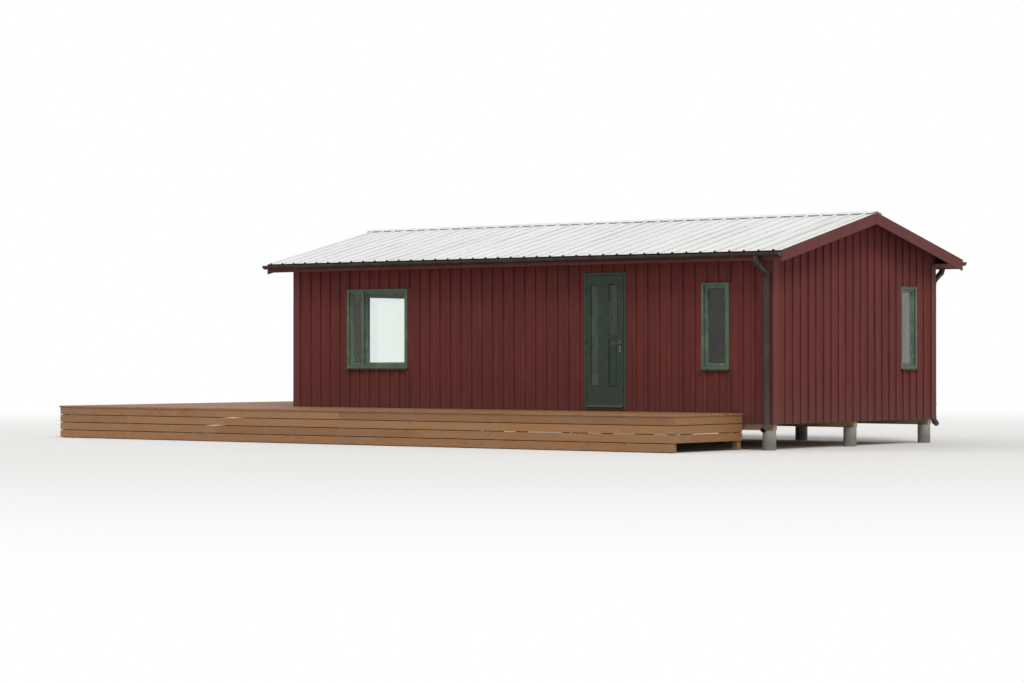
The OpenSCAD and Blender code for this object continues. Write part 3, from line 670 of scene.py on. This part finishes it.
def fixing_size(washer_radius, washer_height, head_radius, head_height, sides=6):
    """Sizes of one kind of nail or screw, as far as it shows."""
    return {"Washer_Radius": washer_radius, "Washer_Height": washer_height,
            "Head_Radius": head_radius, "Head_Height": head_height, "Head_Sides": sides}


def driven(name, spots, size, turn, finish, body="cabin", slot="fittings"):
    """Nails or screws of one size, one at each spot."""
    kept(grown(name, fixings, fixing_sockets, spots, Turn=turn, Finish=finish, **size), body, slot)


nail = fixing_size(0.0045, 0.0012, 0.0018, 0.0005)
nail_gap = 0.6
from_end = 0.06
for wall, runs in batten_runs.items():
    across, side = facing[wall]
    depth = side * (house_half[across] + batten_thick)
    spots = []
    for at, foot, head in runs:
        spaces = max(1, round((head - foot) / nail_gap))
        for k in range(spaces + 1):
            z = foot + from_end + k * (head - foot - 2 * from_end) / spaces
            spots.append(placed(across, depth, at, z))
    driven(wall + "_nails", spots, nail, out_of[wall], batten_red, slot="red_cladding")

# Corner boards: two planed boards lapped at each corner of the house, nailed over the ends of
# the cladding and painted the same red.


def shaped(name, work, finish):
    """Closes a working mesh into an object with its faces outwards."""
    bmesh.ops.recalc_face_normals(work, faces=work.faces)
    mesh = bpy.data.meshes.new(name)
    work.to_mesh(mesh)
    work.free()
    if "custom_normal" in mesh.attributes:
        mesh.attributes.remove(mesh.attributes["custom_normal"])
    mesh.materials.append(finish)
    return fresh_object(name, mesh)


def whole_faced(node, name, finish):
    """A copy of a CAD node with each flat face in one piece."""
    work = merged(node)
    bmesh.ops.dissolve_limit(work, angle_limit=math.radians(0.6), verts=work.verts, edges=work.edges)
    return shaped(name, work, finish)


def eased(node, finish, slot, body="cabin", edge=0.0025, ending="_eased"):
    """Puts a copy with eased arrises, as a plane or a press leaves them, in a node's place."""
    piece = whole_faced(node, node + ending, finish)
    bevel = piece.modifiers.new("eased_edges", "BEVEL")
    bevel.width = edge
    bevel.segments = 2
    bevel.limit_method = "ANGLE"
    bevel.angle_limit = math.radians(30)
    kept(settled(piece), body, slot, node)


trim_red = {}
for along, ending, dirt in (("Z", "upright", 0.5), ("X", "along", 0.0), ("Y", "across", 0.0)):
    trim_red[along] = red_paint(
        "red_trim_" + ending, (0.108, 0.0145, 0.011, 1), along, 0.72, 0.0004, 0.3, dirt)
eased("corner_boards", trim_red["Z"], "red_trim")

# Roof boards, eaves and barge boards: sawn boards over spruce trusses, painted where they show
# below, with a planed fascia and soffit at the eaves and a barge board up each gable.

dress("roof_trusses", timber("truss_spruce", *spruce, "Y", 0.85, 0.001, grey=0.1))
for side in ("roof_boards_front", "roof_boards_back"):
    dress(side, trim_red["X"])
eased("eaves", trim_red["X"], "red_trim")
eased("barge_boards", trim_red["Y"], "red_trim")

# Eave ends: a short board in line with each gable closes the hollow between soffit and roof
# boards. It is cut to their slope, nailed to the last rafter and painted red.


def solid_between(work, first, last):
    """A solid between two outlines that have as many corners."""
    ends = [[work.verts.new(corner) for corner in outline] for outline in (first, last)]
    for i in range(len(first)):
        j = (i + 1) % len(first)
        work.faces.new((ends[0][i], ends[0][j], ends[1][j], ends[1][i]))
    work.faces.new(ends[0])
    work.faces.new(ends[1][::-1])


end_thick = 0.022
end_gap = 0.0005
rafter_deep = 0.1103
gable_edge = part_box("left_gable_cladding")[1].y + end_gap
tail_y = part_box("eaves")[1].y - end_thick - end_gap
over_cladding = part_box("front_cladding_right")[1].z + end_gap
outline = [(gable_edge, over_cladding), (house_half.y, over_cladding),
           (house_half.y, roof_underside(house_half.y) - rafter_deep + end_gap),
           (tail_y, roof_underside(tail_y) - rafter_deep + end_gap),
           (tail_y, roof_underside(tail_y) - end_gap),
           (gable_edge, roof_underside(gable_edge) - end_gap)]
eave_ends = bmesh.new()
for start in (-house_half.x, house_half.x - end_thick):
    for side in (-1, 1):
        solid_between(eave_ends, [(start, side * y, z) for y, z in outline],
                      [(start + end_thick, side * y, z) for y, z in outline])
kept(shaped("eave_ends", eave_ends, trim_red["Y"]), "cabin", "red_trim")

# Roof: ribbed sheets of coated steel, pale grey, that run from ridge to eave over the boards,
# screwed down through the flats, with a folded cap along the ridge. A dark band of dust and
# painted shade lies along the sides and foot of each rib.

sheet_low, sheet_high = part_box("roof_sheets_back")
rib_count = 40
ribs_a_sheet = 4
rib_step = (sheet_high.x - sheet_low.x) / rib_count
rib_crown = 0.0125
rib_foot = 0.0225
cap_cover = 0.15
roof_metal, tree = new_finish("pale_roof_coating", Specular_IOR_Level=0.3)
spot = object_spot(tree)
run_off = noise(tree, stretched(tree, (9, 0.5, 0.5), spot), 1.0, 5, 0.6)
cloud = noise(tree, spot, 0.9, 4)
speck = noise(tree, spot, 90, 2)
place = node_in(tree, "ShaderNodeSeparateXYZ", {0: spot}).outputs
ribs_along = maths(tree, "DIVIDE", maths(tree, "SUBTRACT", place["X"], sheet_low.x), rib_step)
sheet_number = maths(tree, "FLOOR", maths(tree, "DIVIDE", ribs_along, ribs_a_sheet))
off_rib = maths(tree, "MULTIPLY", from_middle(tree, ribs_along), rib_step)
# Dark band on each rib's sides and foot below the cap: partly dust, partly painted shade in the crease,
# which lets the ribs show from the lit side
rib_dust_and_shade = maths(tree, "MULTIPLY", faded(tree, off_rib, rib_foot + 0.016, rib_foot + 0.001),
             faded(tree, off_rib, rib_crown + 0.002, rib_foot - 0.002))
below_cap = maths(tree, "GREATER_THAN", maths(tree, "ABSOLUTE", place["Y"]), cap_cover)
rib_dust_and_shade = maths(tree, "MULTIPLY", rib_dust_and_shade, below_cap)
colour = tinted(tree, faded(tree, run_off, 0.42, 0.75), (0.78, 0.785, 0.79, 1), (0.64, 0.64, 0.62, 1))
colour = stained(tree, white_noise(tree, sheet_number), 0.4, colour, (0.68, 0.685, 0.69, 1))
colour = stained(tree, faded(tree, cloud, 0.45, 0.7), 0.35, colour, (0.83, 0.83, 0.82, 1))
colour = stained(tree, faded(tree, speck, 0.66, 0.75), 0.5, colour, (0.25, 0.24, 0.21, 1))
colour = stained(tree, rib_dust_and_shade, ranged(tree, run_off, 0.12, 0.62), colour, (0.33, 0.32, 0.29, 1))
dents = noise(tree, stretched(tree, (3, 1.2, 1.2), spot), 1.0, 2)
finished(tree, colour, ranged(tree, run_off, 0.5, 0.24), dents, 0.004)
for part in ("roof_sheets_front", "roof_sheets_back", "ridge_cap"):
    dress(part, roof_metal)


def uneven(name, scale, detail, dark, light, rough, rough_span, **constants):
    """A plain material, a little uneven in colour and gloss."""
    made, tree = new_finish(name, **constants)
    speckle = noise(tree, object_spot(tree), scale, detail)
    finished(tree, tinted(tree, speckle, dark, light), ranged(tree, speckle, rough, rough_span))
    return made


def on_slope(x, distance, rise, side):
    """Place on a slope: distance down it from the ridge, and rise square off its boards."""
    return (x, side * (distance * math.cos(roof_pitch) + rise * math.sin(roof_pitch)),
            deck_high.z - distance * math.sin(roof_pitch) + rise * math.cos(roof_pitch))


def rib_middle(rib):
    """Place along X of a rib, counted from the left gable."""
    return sheet_low.x + (rib + 0.5) * rib_step


zinc = uneven("zinc_plated_screws", 300, 2, (0.30, 0.30, 0.31, 1), (0.50, 0.50, 0.49, 1), 0.3,
              0.25, Metallic=0.9)
roof_screw = fixing_size(0.009, 0.0018, 0.0048, 0.0045)
screw_rows = [0.26, 0.85, 1.42, 1.99, sheet_high.y / math.cos(roof_pitch) - 0.12]
sheet_thick = 0.002
beside_rib = 0.045
cap_row = 0.13
cap_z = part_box("ridge_cap")[1].z - cap_row * roof_slope
for wall in ("front", "back"):
    side = facing[wall][1]
    spots = [(rib_middle(rib), side * cap_row, cap_z) for rib in range(0, rib_count, 2)]
    for row, distance in enumerate(screw_rows):
        for rib in range(rib_count):
            if row in (0, len(screw_rows) - 1) or rib % 2 != row % 2:
                spots.append(on_slope(rib_middle(rib) + beside_rib, distance, sheet_thick, side))
    driven(wall + "_roof_screws", spots, roof_screw, (-side * roof_pitch, 0, 0), zinc)

# Roof joints: each sheet laps its neighbour over one rib, and pale foam blocks fill the hollows
# between the ribs under the edge of the ridge cap.


def sloping_bar(work, section, start, end, side):
    """A bar down a slope whose section is drawn across it as (x, rise) corners."""
    ends = [[on_slope(x, at, rise, side) for x, rise in section] for at in (start, end)]
    solid_between(work, *ends)


laps = bmesh.new()
fillers = bmesh.new()
rib_high = 0.022
lap_thick = 0.0012
lap_side = 0.0008
lap_left = rib_foot + 0.004
lap_right = rib_foot + 0.008
lap_top = sheet_thick + lap_thick
lap_section = [(-lap_left, sheet_thick), (-rib_foot, sheet_thick), (-rib_crown, rib_high),
               (rib_crown, rib_high), (rib_foot, sheet_thick), (lap_right, sheet_thick),
               (lap_right, lap_top), (rib_foot + lap_side, lap_top),
               (rib_crown + lap_side, rib_high + lap_thick),
               (-rib_crown - lap_side, rib_high + lap_thick),
               (-rib_foot - lap_side, lap_top), (-lap_left, lap_top)]
lap_start = 0.175
lap_end = (sheet_high.y - 0.0005) / math.cos(roof_pitch) - 0.002
filler_fit = 0.0005
filler_foot = sheet_thick + 0.0002
filler_head = rib_high - 0.0006
filler_start, filler_end = 0.128, 0.146
for side in (-1, 1):
    for rib in range(rib_count + 1):
        left, right = rib_middle(rib - 1), rib_middle(rib)
        foot_left, foot_right = left + rib_foot + filler_fit, right - rib_foot - filler_fit
        head_left, head_right = left + rib_crown + filler_fit, right - rib_crown - filler_fit
        if rib == 0:
            foot_left = head_left = sheet_low.x + 0.001
        if rib == rib_count:
            foot_right = head_right = sheet_high.x - 0.001
        filler = [(foot_left, filler_foot), (foot_right, filler_foot),
                  (head_right, filler_head), (head_left, filler_head)]
        sloping_bar(fillers, filler, filler_start, filler_end, side)
    for rib in range(ribs_a_sheet - 1, rib_count - 1, ribs_a_sheet):
        lap = [(rib_middle(rib) + x, rise) for x, rise in lap_section]
        sloping_bar(laps, lap, lap_start, lap_end, side)
kept(shaped("sheet_laps", laps, roof_metal), "cabin", "roof_metal")
foam = uneven("pale_foam", 140, 3, (0.30, 0.30, 0.29, 1), (0.42, 0.42, 0.40, 1), 0.7, 0.2)
kept(shaped("ridge_fillers", fillers, foam), "cabin", "fittings")

# Gutters, downpipes and window sills: half-round gutters in hooks on the fascia, round pipes
# with pressed bends and sockets, strapped to the corner boards, and folded sills under the
# windows. All are of steel sheet, coated dark brown.


def rounded(node, ending, finish, body, slot):
    """Puts a copy whose curved faces shade as one in a node's place."""
    piece = whole_faced(node, node + ending, finish)
    piece.data.shade_smooth()
    piece.data.set_sharp_from_angle(angle=math.radians(35))
    even = piece.modifiers.new("even_shading", "WEIGHTED_NORMAL")
    even.keep_sharp = True
    kept(settled(piece), body, slot, node)


dark_coat, tree = new_finish("dark_brown_coating", Specular_IOR_Level=0.3)
spot = object_spot(tree)
film = noise(tree, stretched(tree, (3, 3, 1.2), spot), 2.0, 5)
colour = tinted(tree, faded(tree, film, 0.4, 0.7), (0.026, 0.019, 0.0155, 1), (0.043, 0.035, 0.030, 1))
colour = splashed(tree, colour, 0.8, 0.6, (0.095, 0.08, 0.06, 1))
finished(tree, colour, ranged(tree, film, 0.3, 0.3), noise(tree, spot, 40, 3), 0.0004)
for part in ("gutters", "downpipes"):
    rounded(part, "_coated", dark_coat, "cabin", "dark_metal")
eased("window_sills", dark_coat, "dark_metal", edge=0.0008, ending="_folded")

# Door frame and leaf: a frame-and-panel leaf of pine with an upright pane over the lock side,
# hung outwards on three steel hinges. Frame and leaf are painted dark green.


def gloss_paint(name, green, wear):
    """Satin oil paint on joinery, a little uneven, with grain that shows through."""
    made, tree = new_finish(name, Specular_IOR_Level=0.25)
    grain = use_group(tree, fibre, Stretch=stretch_along["Z"], Shift=0.3)["Fibre"]
    cloud = noise(tree, object_spot(tree), 5, 5)
    colour = stained(tree, faded(tree, cloud, 0.42, 0.7), wear, green, toned(green, 1.7, 0.015))
    colour = stained(tree, grain, 0.25, colour, toned(green, 0.6))
    colour = splashed(tree, colour, 1.0, 0.35, (0.09, 0.08, 0.06, 1))
    finished(tree, colour, ranged(tree, cloud, 0.32, 0.22), grain, 0.0003)
    return made


def outline_at(low, high, thin, at, inset=0.0):
    """Corners of a block's outline at one place on its thin axis, drawn in by inset."""
    left, right = low[1 - thin] + inset, high[1 - thin] - inset
    foot, head = low[2] + inset, high[2] - inset
    return [placed(thin, at, along, height)
            for along, height in ((left, foot), (right, foot), (right, head), (left, head))]


def slab(work, low, high, taper=0.0, side=1):
    """A block between two corners; taper narrows its face towards one side of Y."""
    solid_between(work, outline_at(low, high, 1, low[1], taper if side < 0 else 0.0),
                  outline_at(low, high, 1, high[1], taper if side > 0 else 0.0))


door_green = gloss_paint("dark_green_door_paint", (0.018, 0.033, 0.023, 1), 0.3)
panel_green = gloss_paint("worn_green_panel_paint", (0.040, 0.056, 0.042, 1), 0.5)
frame_green = gloss_paint("green_joinery_paint", (0.022, 0.042, 0.029, 1), 0.4)
eased("door_frame", frame_green, "green_joinery")
eased("door_leaf", door_green, "green_door", body="door")

# Each panel has a raised field on both faces, with a sloping border
leaf_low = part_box("door_leaf")[0]
pane_low, pane_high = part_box("door_glass")
leaf_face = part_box("door_frame")[0].y
leaf_thick = 0.05
hinge_stile = 0.08
kick_rail = 0.31
tall_left = leaf_low.x + hinge_stile
tall_wide = 0.158
panel_foot = leaf_low.z + kick_rail
middle_rail = 0.06
panel_deep = 0.012
border = 0.009
field_rise = 0.008
field_slope = 0.024
field_root = 0.001
for name, left, right, head, finish in (
        ("tall_raised_panel", tall_left, tall_left + tall_wide, pane_high.z, panel_green),
        ("low_raised_panel", pane_low.x, pane_high.x, pane_low.z - middle_rail, door_green)):
    field = bmesh.new()
    for side in (-1, 1):
        face = leaf_face + (leaf_thick - panel_deep if side > 0 else panel_deep)
        near, far = sorted((face - side * field_root, face + side * field_rise))
        slab(field, (left + border, near, panel_foot + border),
             (right - border, far, head - border), field_slope, side)
    kept(shaped(name, field, finish), "door", "green_door")

# Door glass: a sealed unit of two panes with a metal spacer between their edges, held by
# sloping wooden beads on both faces of the leaf.

clear_glass, tree = new_finish(
    "clear_glass", Transmission_Weight=1.0, IOR=1.45, Specular_Tint=(0.3, 0.3, 0.3, 1))
film = faded(tree, noise(tree, object_spot(tree), 2.5, 2, 0.5), 0.3, 0.8)
finished(tree, tinted(tree, film, (0.95, 0.975, 0.96, 1), (0.93, 0.96, 0.945, 1)),
         maths(tree, "MULTIPLY", film, 0.015))
let_through = node_in(tree, "ShaderNodeBsdfTransparent", {"Color": (0.9, 0.93, 0.91, 1)})
lamp_ray = node_in(tree, "ShaderNodeLightPath").outputs["Is Shadow Ray"]
pane = either(tree, lamp_ray, tree.nodes["Principled BSDF"].outputs[0], let_through.outputs[0])
tree.links.new(pane, tree.nodes["Material Output"].inputs["Surface"])
spacer_metal = uneven(
    "spacer_bar", 60, 3, (0.20, 0.20, 0.20, 1), (0.34, 0.34, 0.34, 1), 0.35, 0.2, Metallic=0.6)
pane_thick = 0.004
spacer_wide = 0.009
bead_wide = 0.011
bead_edge = 0.004


def thin_axis(low, high):
    """Axis through an upright pane or board: 0 for X, 1 for Y."""
    return 0 if high.x - low.x < high.y - low.y else 1


def ring(work, low, high, thin, back, outer, inner, width):
    """A mitred frame of four strips laid inside a pane's edges.

    back, outer and inner are the places along the thin axis of the frame's back and of its
    face at its outer and inner edge.
    """
    rings = [[work.verts.new(corner) for corner in outline_at(low, high, thin, at, inset)]
             for at, inset in ((back, 0), (outer, 0), (inner, width), (back, width))]
    for a, b in zip(rings, rings[1:] + rings[:1]):
        for i in range(4):
            j = (i + 1) % 4
            work.faces.new((a[i], a[j], b[j], b[i]))


def glazed(name, panes, body, node):
    """Two sheets of glass and the spacer bar between them for each sealed unit."""
    sheets = bmesh.new()
    bars = bmesh.new()
    for low, high in panes:
        thin = thin_axis(low, high)
        first, second = low[thin] + pane_thick, high[thin] - pane_thick
        for start, end in ((low[thin], first), (second, high[thin])):
            solid_between(sheets, outline_at(low, high, thin, start), outline_at(low, high, thin, end))
        ring(bars, low, high, thin, first, second, second, spacer_wide)
    kept(shaped(name + "_sheets", sheets, clear_glass), body, "glass", node)
    kept(shaped(name + "_spacers", bars, spacer_metal), body, "fittings")


def beaded(name, panes, reach, finish, body, slot):
    """Sloping glazing beads round each sealed unit, on both of its faces."""
    work = bmesh.new()
    for low, high in panes:
        thin = thin_axis(low, high)
        for face, side in ((low[thin], -1), (high[thin], 1)):
            ring(work, low, high, thin, face, face + side * reach, face + side * bead_edge, bead_wide)
    kept(shaped(name, work, finish), body, slot)


glazed("door_glass", [(pane_low, pane_high)], "door", "door_glass")
beaded("door_beads", [(pane_low, pane_high)], 0.015, door_green, "door", "green_door")

# Door furniture: a lever handle and a cylinder lock on long plates of brushed steel, browned
# with age, and three lift-off hinges, which were painted over together with the door.

steel, tree = new_finish("browned_steel", Metallic=0.9)
spot = object_spot(tree)
brushed = noise(tree, stretched(tree, (260, 260, 12), spot), 1.0, 3)
smear = noise(tree, spot, 22, 4)
colour = tinted(tree, brushed, (0.085, 0.074, 0.062, 1), (0.15, 0.135, 0.118, 1))
colour = stained(tree, faded(tree, smear, 0.5, 0.8), 0.6, colour, (0.26, 0.245, 0.22, 1))
finished(tree, colour, ranged(tree, smear, 0.28, 0.2), brushed, 0.0001)
rounded("door_handle", "_browned", steel, "door", "fittings")
rounded("door_leaf_hinges", "_painted", door_green, "door", "green_door")
rounded("door_frame_hinges", "_painted", frame_green, "cabin", "green_joinery")

plate_screw = fixing_size(0.0042, 0.0008, 0.0018, 0.0002)
plate_out = 0.006
plate_half = 0.018
screw_inset = 0.01
handle_low, handle_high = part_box("door_handle")
plate_x = handle_high.x - plate_half
plate_z = (handle_low.z + screw_inset, handle_high.z - screw_inset)
leaf_back = leaf_face + leaf_thick
for wall, face in (("front", leaf_face - plate_out), ("back", leaf_back + plate_out)):
    driven("handle_screws_" + wall, [(plate_x, face, z) for z in plate_z], plate_screw,
           out_of[wall], steel, body="door")

# Black rubber for the seals; the same black also paints the shade in the keyway and in the gap round each
# sash
rubber_and_painted_shade = uneven("black_rubber_and_painted_shade", 30, 4, (0.011, 0.011, 0.012, 1), (0.03, 0.029, 0.027, 1), 0.55, 0.3)
lock_up = 0.035
lock_z = handle_low.z + lock_up
lock_out = 0.01
let_in = 0.001
slot_wide, slot_proud, slot_high = 0.0024, 0.0004, 0.009
# The keyway is a thin black slab standing just proud of the plate: painted shade for the dark slot of the
# lock
key_slot = bmesh.new()
slab(key_slot,
     (plate_x - slot_wide / 2, leaf_face - lock_out - slot_proud, lock_z - slot_high / 2),
     (plate_x + slot_wide / 2, leaf_face - lock_out + let_in, lock_z + slot_high / 2))
kept(shaped("key_slot", key_slot, rubber_and_painted_shade), "door", "fittings")
turn_wide, turn_deep, turn_high = 0.008, 0.014, 0.028
thumb_turn = bmesh.new()
slab(thumb_turn,
     (plate_x - turn_wide / 2, leaf_back + lock_out - let_in, lock_z - turn_high / 2),
     (plate_x + turn_wide / 2, leaf_back + lock_out + turn_deep, lock_z + turn_high / 2),
     taper=0.0015)
kept(shaped("thumb_turn", thumb_turn, steel), "door", "fittings")

hinge_screw = fixing_size(0.0035, 0.0008, 0.0016, 0.0002)
hinge_face = leaf_face - 0.007
screw_in = 0.008
leaf_rows = (-0.012, 0.012)
frame_rows = (0.008, 0.032)
spots = [(high.x - screw_in, hinge_face, (low.z + high.z) / 2 + dz)
         for low, high in loose_boxes("door_leaf_hinges") for dz in leaf_rows]
driven("leaf_hinge_screws", spots, hinge_screw, out_of["front"], door_green, "door", "green_door")
spots = [(low.x + screw_in, hinge_face, low.z + dz)
         for low, high in loose_boxes("door_frame_hinges") for dz in frame_rows]
driven("frame_hinge_screws", spots, hinge_screw, out_of["front"], frame_green, "cabin", "green_joinery")

# Door seal: a soft rubber strip let into the frame's stop on three sides. The closed leaf
# just misses it, so it keeps draughts out and lets the door swing free.

seal = bmesh.new()
low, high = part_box("door_frame")
leaf_gap = 0.005
stop_face = leaf_back + leaf_gap
stop_edge = 0.052
seal_wide = 0.008
seal_thick = 0.003
seal_root = 0.001
seal_fit = 0.0005
above_threshold = 0.026
seal_foot = low.z + above_threshold
head = high.z - stop_edge
left, right = low.x + stop_edge, high.x - stop_edge
for start, end, foot in ((left - seal_wide, left - seal_root, seal_foot),
                         (right + seal_root, right + seal_wide, seal_foot),
                         (left + seal_fit, right - seal_fit, head + seal_root)):
    slab(seal, (start, stop_face - seal_thick, foot),
         (end, stop_face + seal_root, head + seal_wide), taper=0.0015, side=-1)
kept(shaped("door_seal", seal, rubber_and_painted_shade), "cabin", "fittings")

# Windows: pine frames with the sash set back in them, sealed units of two panes in sloping
# beads, and a black rubber seal round each sash, which also serves as painted shade in the gap
# between sash and frame. The frames are painted green and have weathered.

window_paint = gloss_paint("weathered_window_paint", (0.070, 0.112, 0.074, 1), 0.6)
for part in ("front_windows", "back_windows", "gable_windows"):
    eased(part, window_paint, "green_joinery")
window_panes = loose_boxes("window_glass")
glazed("window_glass", window_panes, "cabin", "window_glass")
beaded("window_beads", window_panes, 0.014, window_paint, "cabin", "green_joinery")

sash_wide = 0.038
sash_back = 0.020
sash_seal_wide = 0.005
sash_seal_root = 0.001
sash_seal_outer = 0.002
sash_seal_inner = 0.0005
around = Vector((sash_wide,) * 3)
# Each ring is a black strip at the sash's outer edge: a rubber seal, and also painted shade for the gap
# line between sash and frame
seal_and_shade_rings = bmesh.new()
for low, high in window_panes:
    thin = thin_axis(low, high)
    out = -1 if low[thin] < 0 else 1
    face = (low if out < 0 else high)[thin] + out * sash_back
    ring(seal_and_shade_rings, low - around, high + around, thin, face - out * sash_seal_root,
         face + out * sash_seal_outer, face + out * sash_seal_inner, sash_seal_wide)
kept(shaped("sash_seal_and_shade_rings", seal_and_shade_rings, rubber_and_painted_shade), "cabin", "fittings")

# Window heads: a strip of the same brown sheet over each frame, folded down at its edge. It
# lies just below the ends of the battens and throws the rain clear of the joinery.

flashings = bmesh.new()
strip_out = 0.024
strip_thick = 0.0015
lip_deep = 0.009
lip_gap = 0.0001
shortest_window = 1
for wall, (across, side) in facing.items():
    wall_face = side * house_half[across]
    edge = side * (house_half[across] + strip_out)
    fold = side * (house_half[across] + strip_out - strip_thick)
    for start, end, bottom, top in holes[wall]:
        if top - bottom < shortest_window:
            continue
        head = top - gap
        for depths, foot, head_z in (((wall_face, edge), head, head + strip_thick),
                                     ((fold, edge), head - lip_deep, head - lip_gap)):
            near, far = sorted(depths)
            slab(flashings, placed(across, near, start, foot), placed(across, far, end, head_z))
kept(shaped("window_head_strips", flashings, dark_coat), "cabin", "dark_metal")

# Terrace frame: posts, rim joists and joists of new honey-coloured pine, screwed together,
# with packing blocks between the inner joist and the wall of the house.

new_pine = {}
for along in "XYZ":
    new_pine[along] = timber(
        "terrace_pine_" + along.lower(), (0.31, 0.148, 0.051, 1), (0.19, 0.080, 0.0255, 1), along, 0.66,
        0.0009, grey=0.12, dirt=0.35 if along == "Z" else 0.0, spread=1.1)
dress("terrace_posts", new_pine["Z"])
dress("terrace_frame_front", new_pine["Y"])
dress("terrace_frame_side", new_pine["Y"])

# Terrace deck: planed boards along the cabin with a gap for rain between them, butted over the
# joists and held by two screws at each joist.

deck_screw = fixing_size(0.0042, 0.0005, 0.0017, 0.0001, sides=4)
deck_gap = 0.005
joist_thick = 0.045
joist_gap = 0.6
end_cut = 0.0015
clear_of_end = 0.06
screw_from_end = 0.018
screw_pair = 0.034


def joist_lines(node):
    """Middles of the joists of a frame, along X."""
    low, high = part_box(node)
    length = high.x - joist_thick - low.x
    count = math.ceil(length / joist_gap)
    return [low.x + joist_thick / 2 + i * length / count for i in range(count + 1)]


def butted(start, end, breaks, lines, near):
    """Boards of one row, cut at its breaks: each one's start, length and screw lines."""
    edges = [start] + breaks + [end]
    found = []
    for left, right in zip(edges, edges[1:]):
        at = left + (end_cut if left > start else 0)
        stop = right - (end_cut if right < end else 0)
        inner = [x for x in lines if at + clear_of_end < x < stop - clear_of_end]
        found.append((at, stop - at, [at + near] + inner + [stop - near]))
    return found


for area, rows, first_gap, joints in (
        ("front", 14, 0, ((8, 16), (4, 12, 19), (6, 14), (7, 15, 20))),
        ("side", 37, deck_gap, ((),))):
    deck = "terrace_deck_" + area
    low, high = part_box(deck)
    lines = joist_lines("terrace_frame_" + area)
    pitch = (high.y - low.y + deck_gap - 2 * first_gap) / rows
    wide = pitch - deck_gap
    spots = []
    screws = []
    for row in range(rows):
        y = low.y + first_gap + row * pitch + wide / 2
        breaks = [lines[i] for i in joints[row % len(joints)]]
        for at, run, screw_lines in butted(low.x, high.x, breaks, lines, screw_from_end):
            spots.append(((at, y, (low.z + high.z) / 2), run))
            screws += [(x, y + dy, high.z) for x in screw_lines for dy in (-screw_pair, screw_pair)]
    laid(deck + "_boards", spots, "terrace_timber", deck, Width=wide, Thickness=high.z - low.z,
         Chamfer=0.003, Turn=along_x_turn, Seed=5, Finish=new_pine["X"])
    driven(deck + "_screws", screws, deck_screw, (0, 0, 0), zinc)

# Terrace skirt: planed boards laid level round the edge of the terrace, butted at the posts
# and screwed to them.

skirt_thick = 0.028
skirt_wide = 0.118
skirt_pitch = 0.128
corner_bay = 1.2
two_boards_over = 6
three_boards_over = 9
past_end = 0.02
skirt_from_end = 0.022
skirt_pair = 0.032
posts = loose_boxes("terrace_posts")
post_lines = [sorted({round((low[axis] + high[axis]) / 2, 3) for low, high in posts}) for axis in (0, 1)]
skirt_spots = {"X": [], "Y": []}
skirt_screws = {wall: [] for wall in facing}
for low, high in loose_boxes("terrace_skirt"):
    across = thin_axis(low, high)
    start, end = low[1 - across], high[1 - across]
    lines = [p for p in post_lines[1 - across] if start - past_end < p < end + past_end]
    middles = [p for p in lines if start + corner_bay < p < end - corner_bay]
    row = round(high.z / skirt_pitch) - 1
    breaks = []
    if end - start > three_boards_over:
        breaks = [middles[i] for i in ((1, 4), (2, 5), (0, 3), (2, 4))[row % 4] if i < len(middles)]
    elif end - start > two_boards_over:
        breaks = [middles[row % len(middles)]]
    depth, z = (low[across] + high[across]) / 2, (low.z + high.z) / 2
    face = (low if low[across] < 0 else high)[across]
    for at, run, screw_lines in butted(start, end, breaks, lines, skirt_from_end):
        skirt_spots["XY"[1 - across]].append((placed(across, depth, at, z), run))
        skirt_screws[wall_at(across, low[across])] += [
            placed(across, face, p, z + dz) for p in screw_lines for dz in (-skirt_pair, skirt_pair)]
for along, turn, nodes in (("X", along_x_turn, ["terrace_skirt"]), ("Y", along_y_turn, [])):
    laid("skirt_boards_" + along.lower(), skirt_spots[along], "terrace_timber", *nodes, Width=skirt_thick,
         Thickness=skirt_wide, Chamfer=0.003, Turn=turn, Seed=9, Finish=new_pine[along])
for wall, spots in skirt_screws.items():
    driven("skirt_screws_" + wall, spots, deck_screw, out_of[wall], zinc)

low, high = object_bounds()
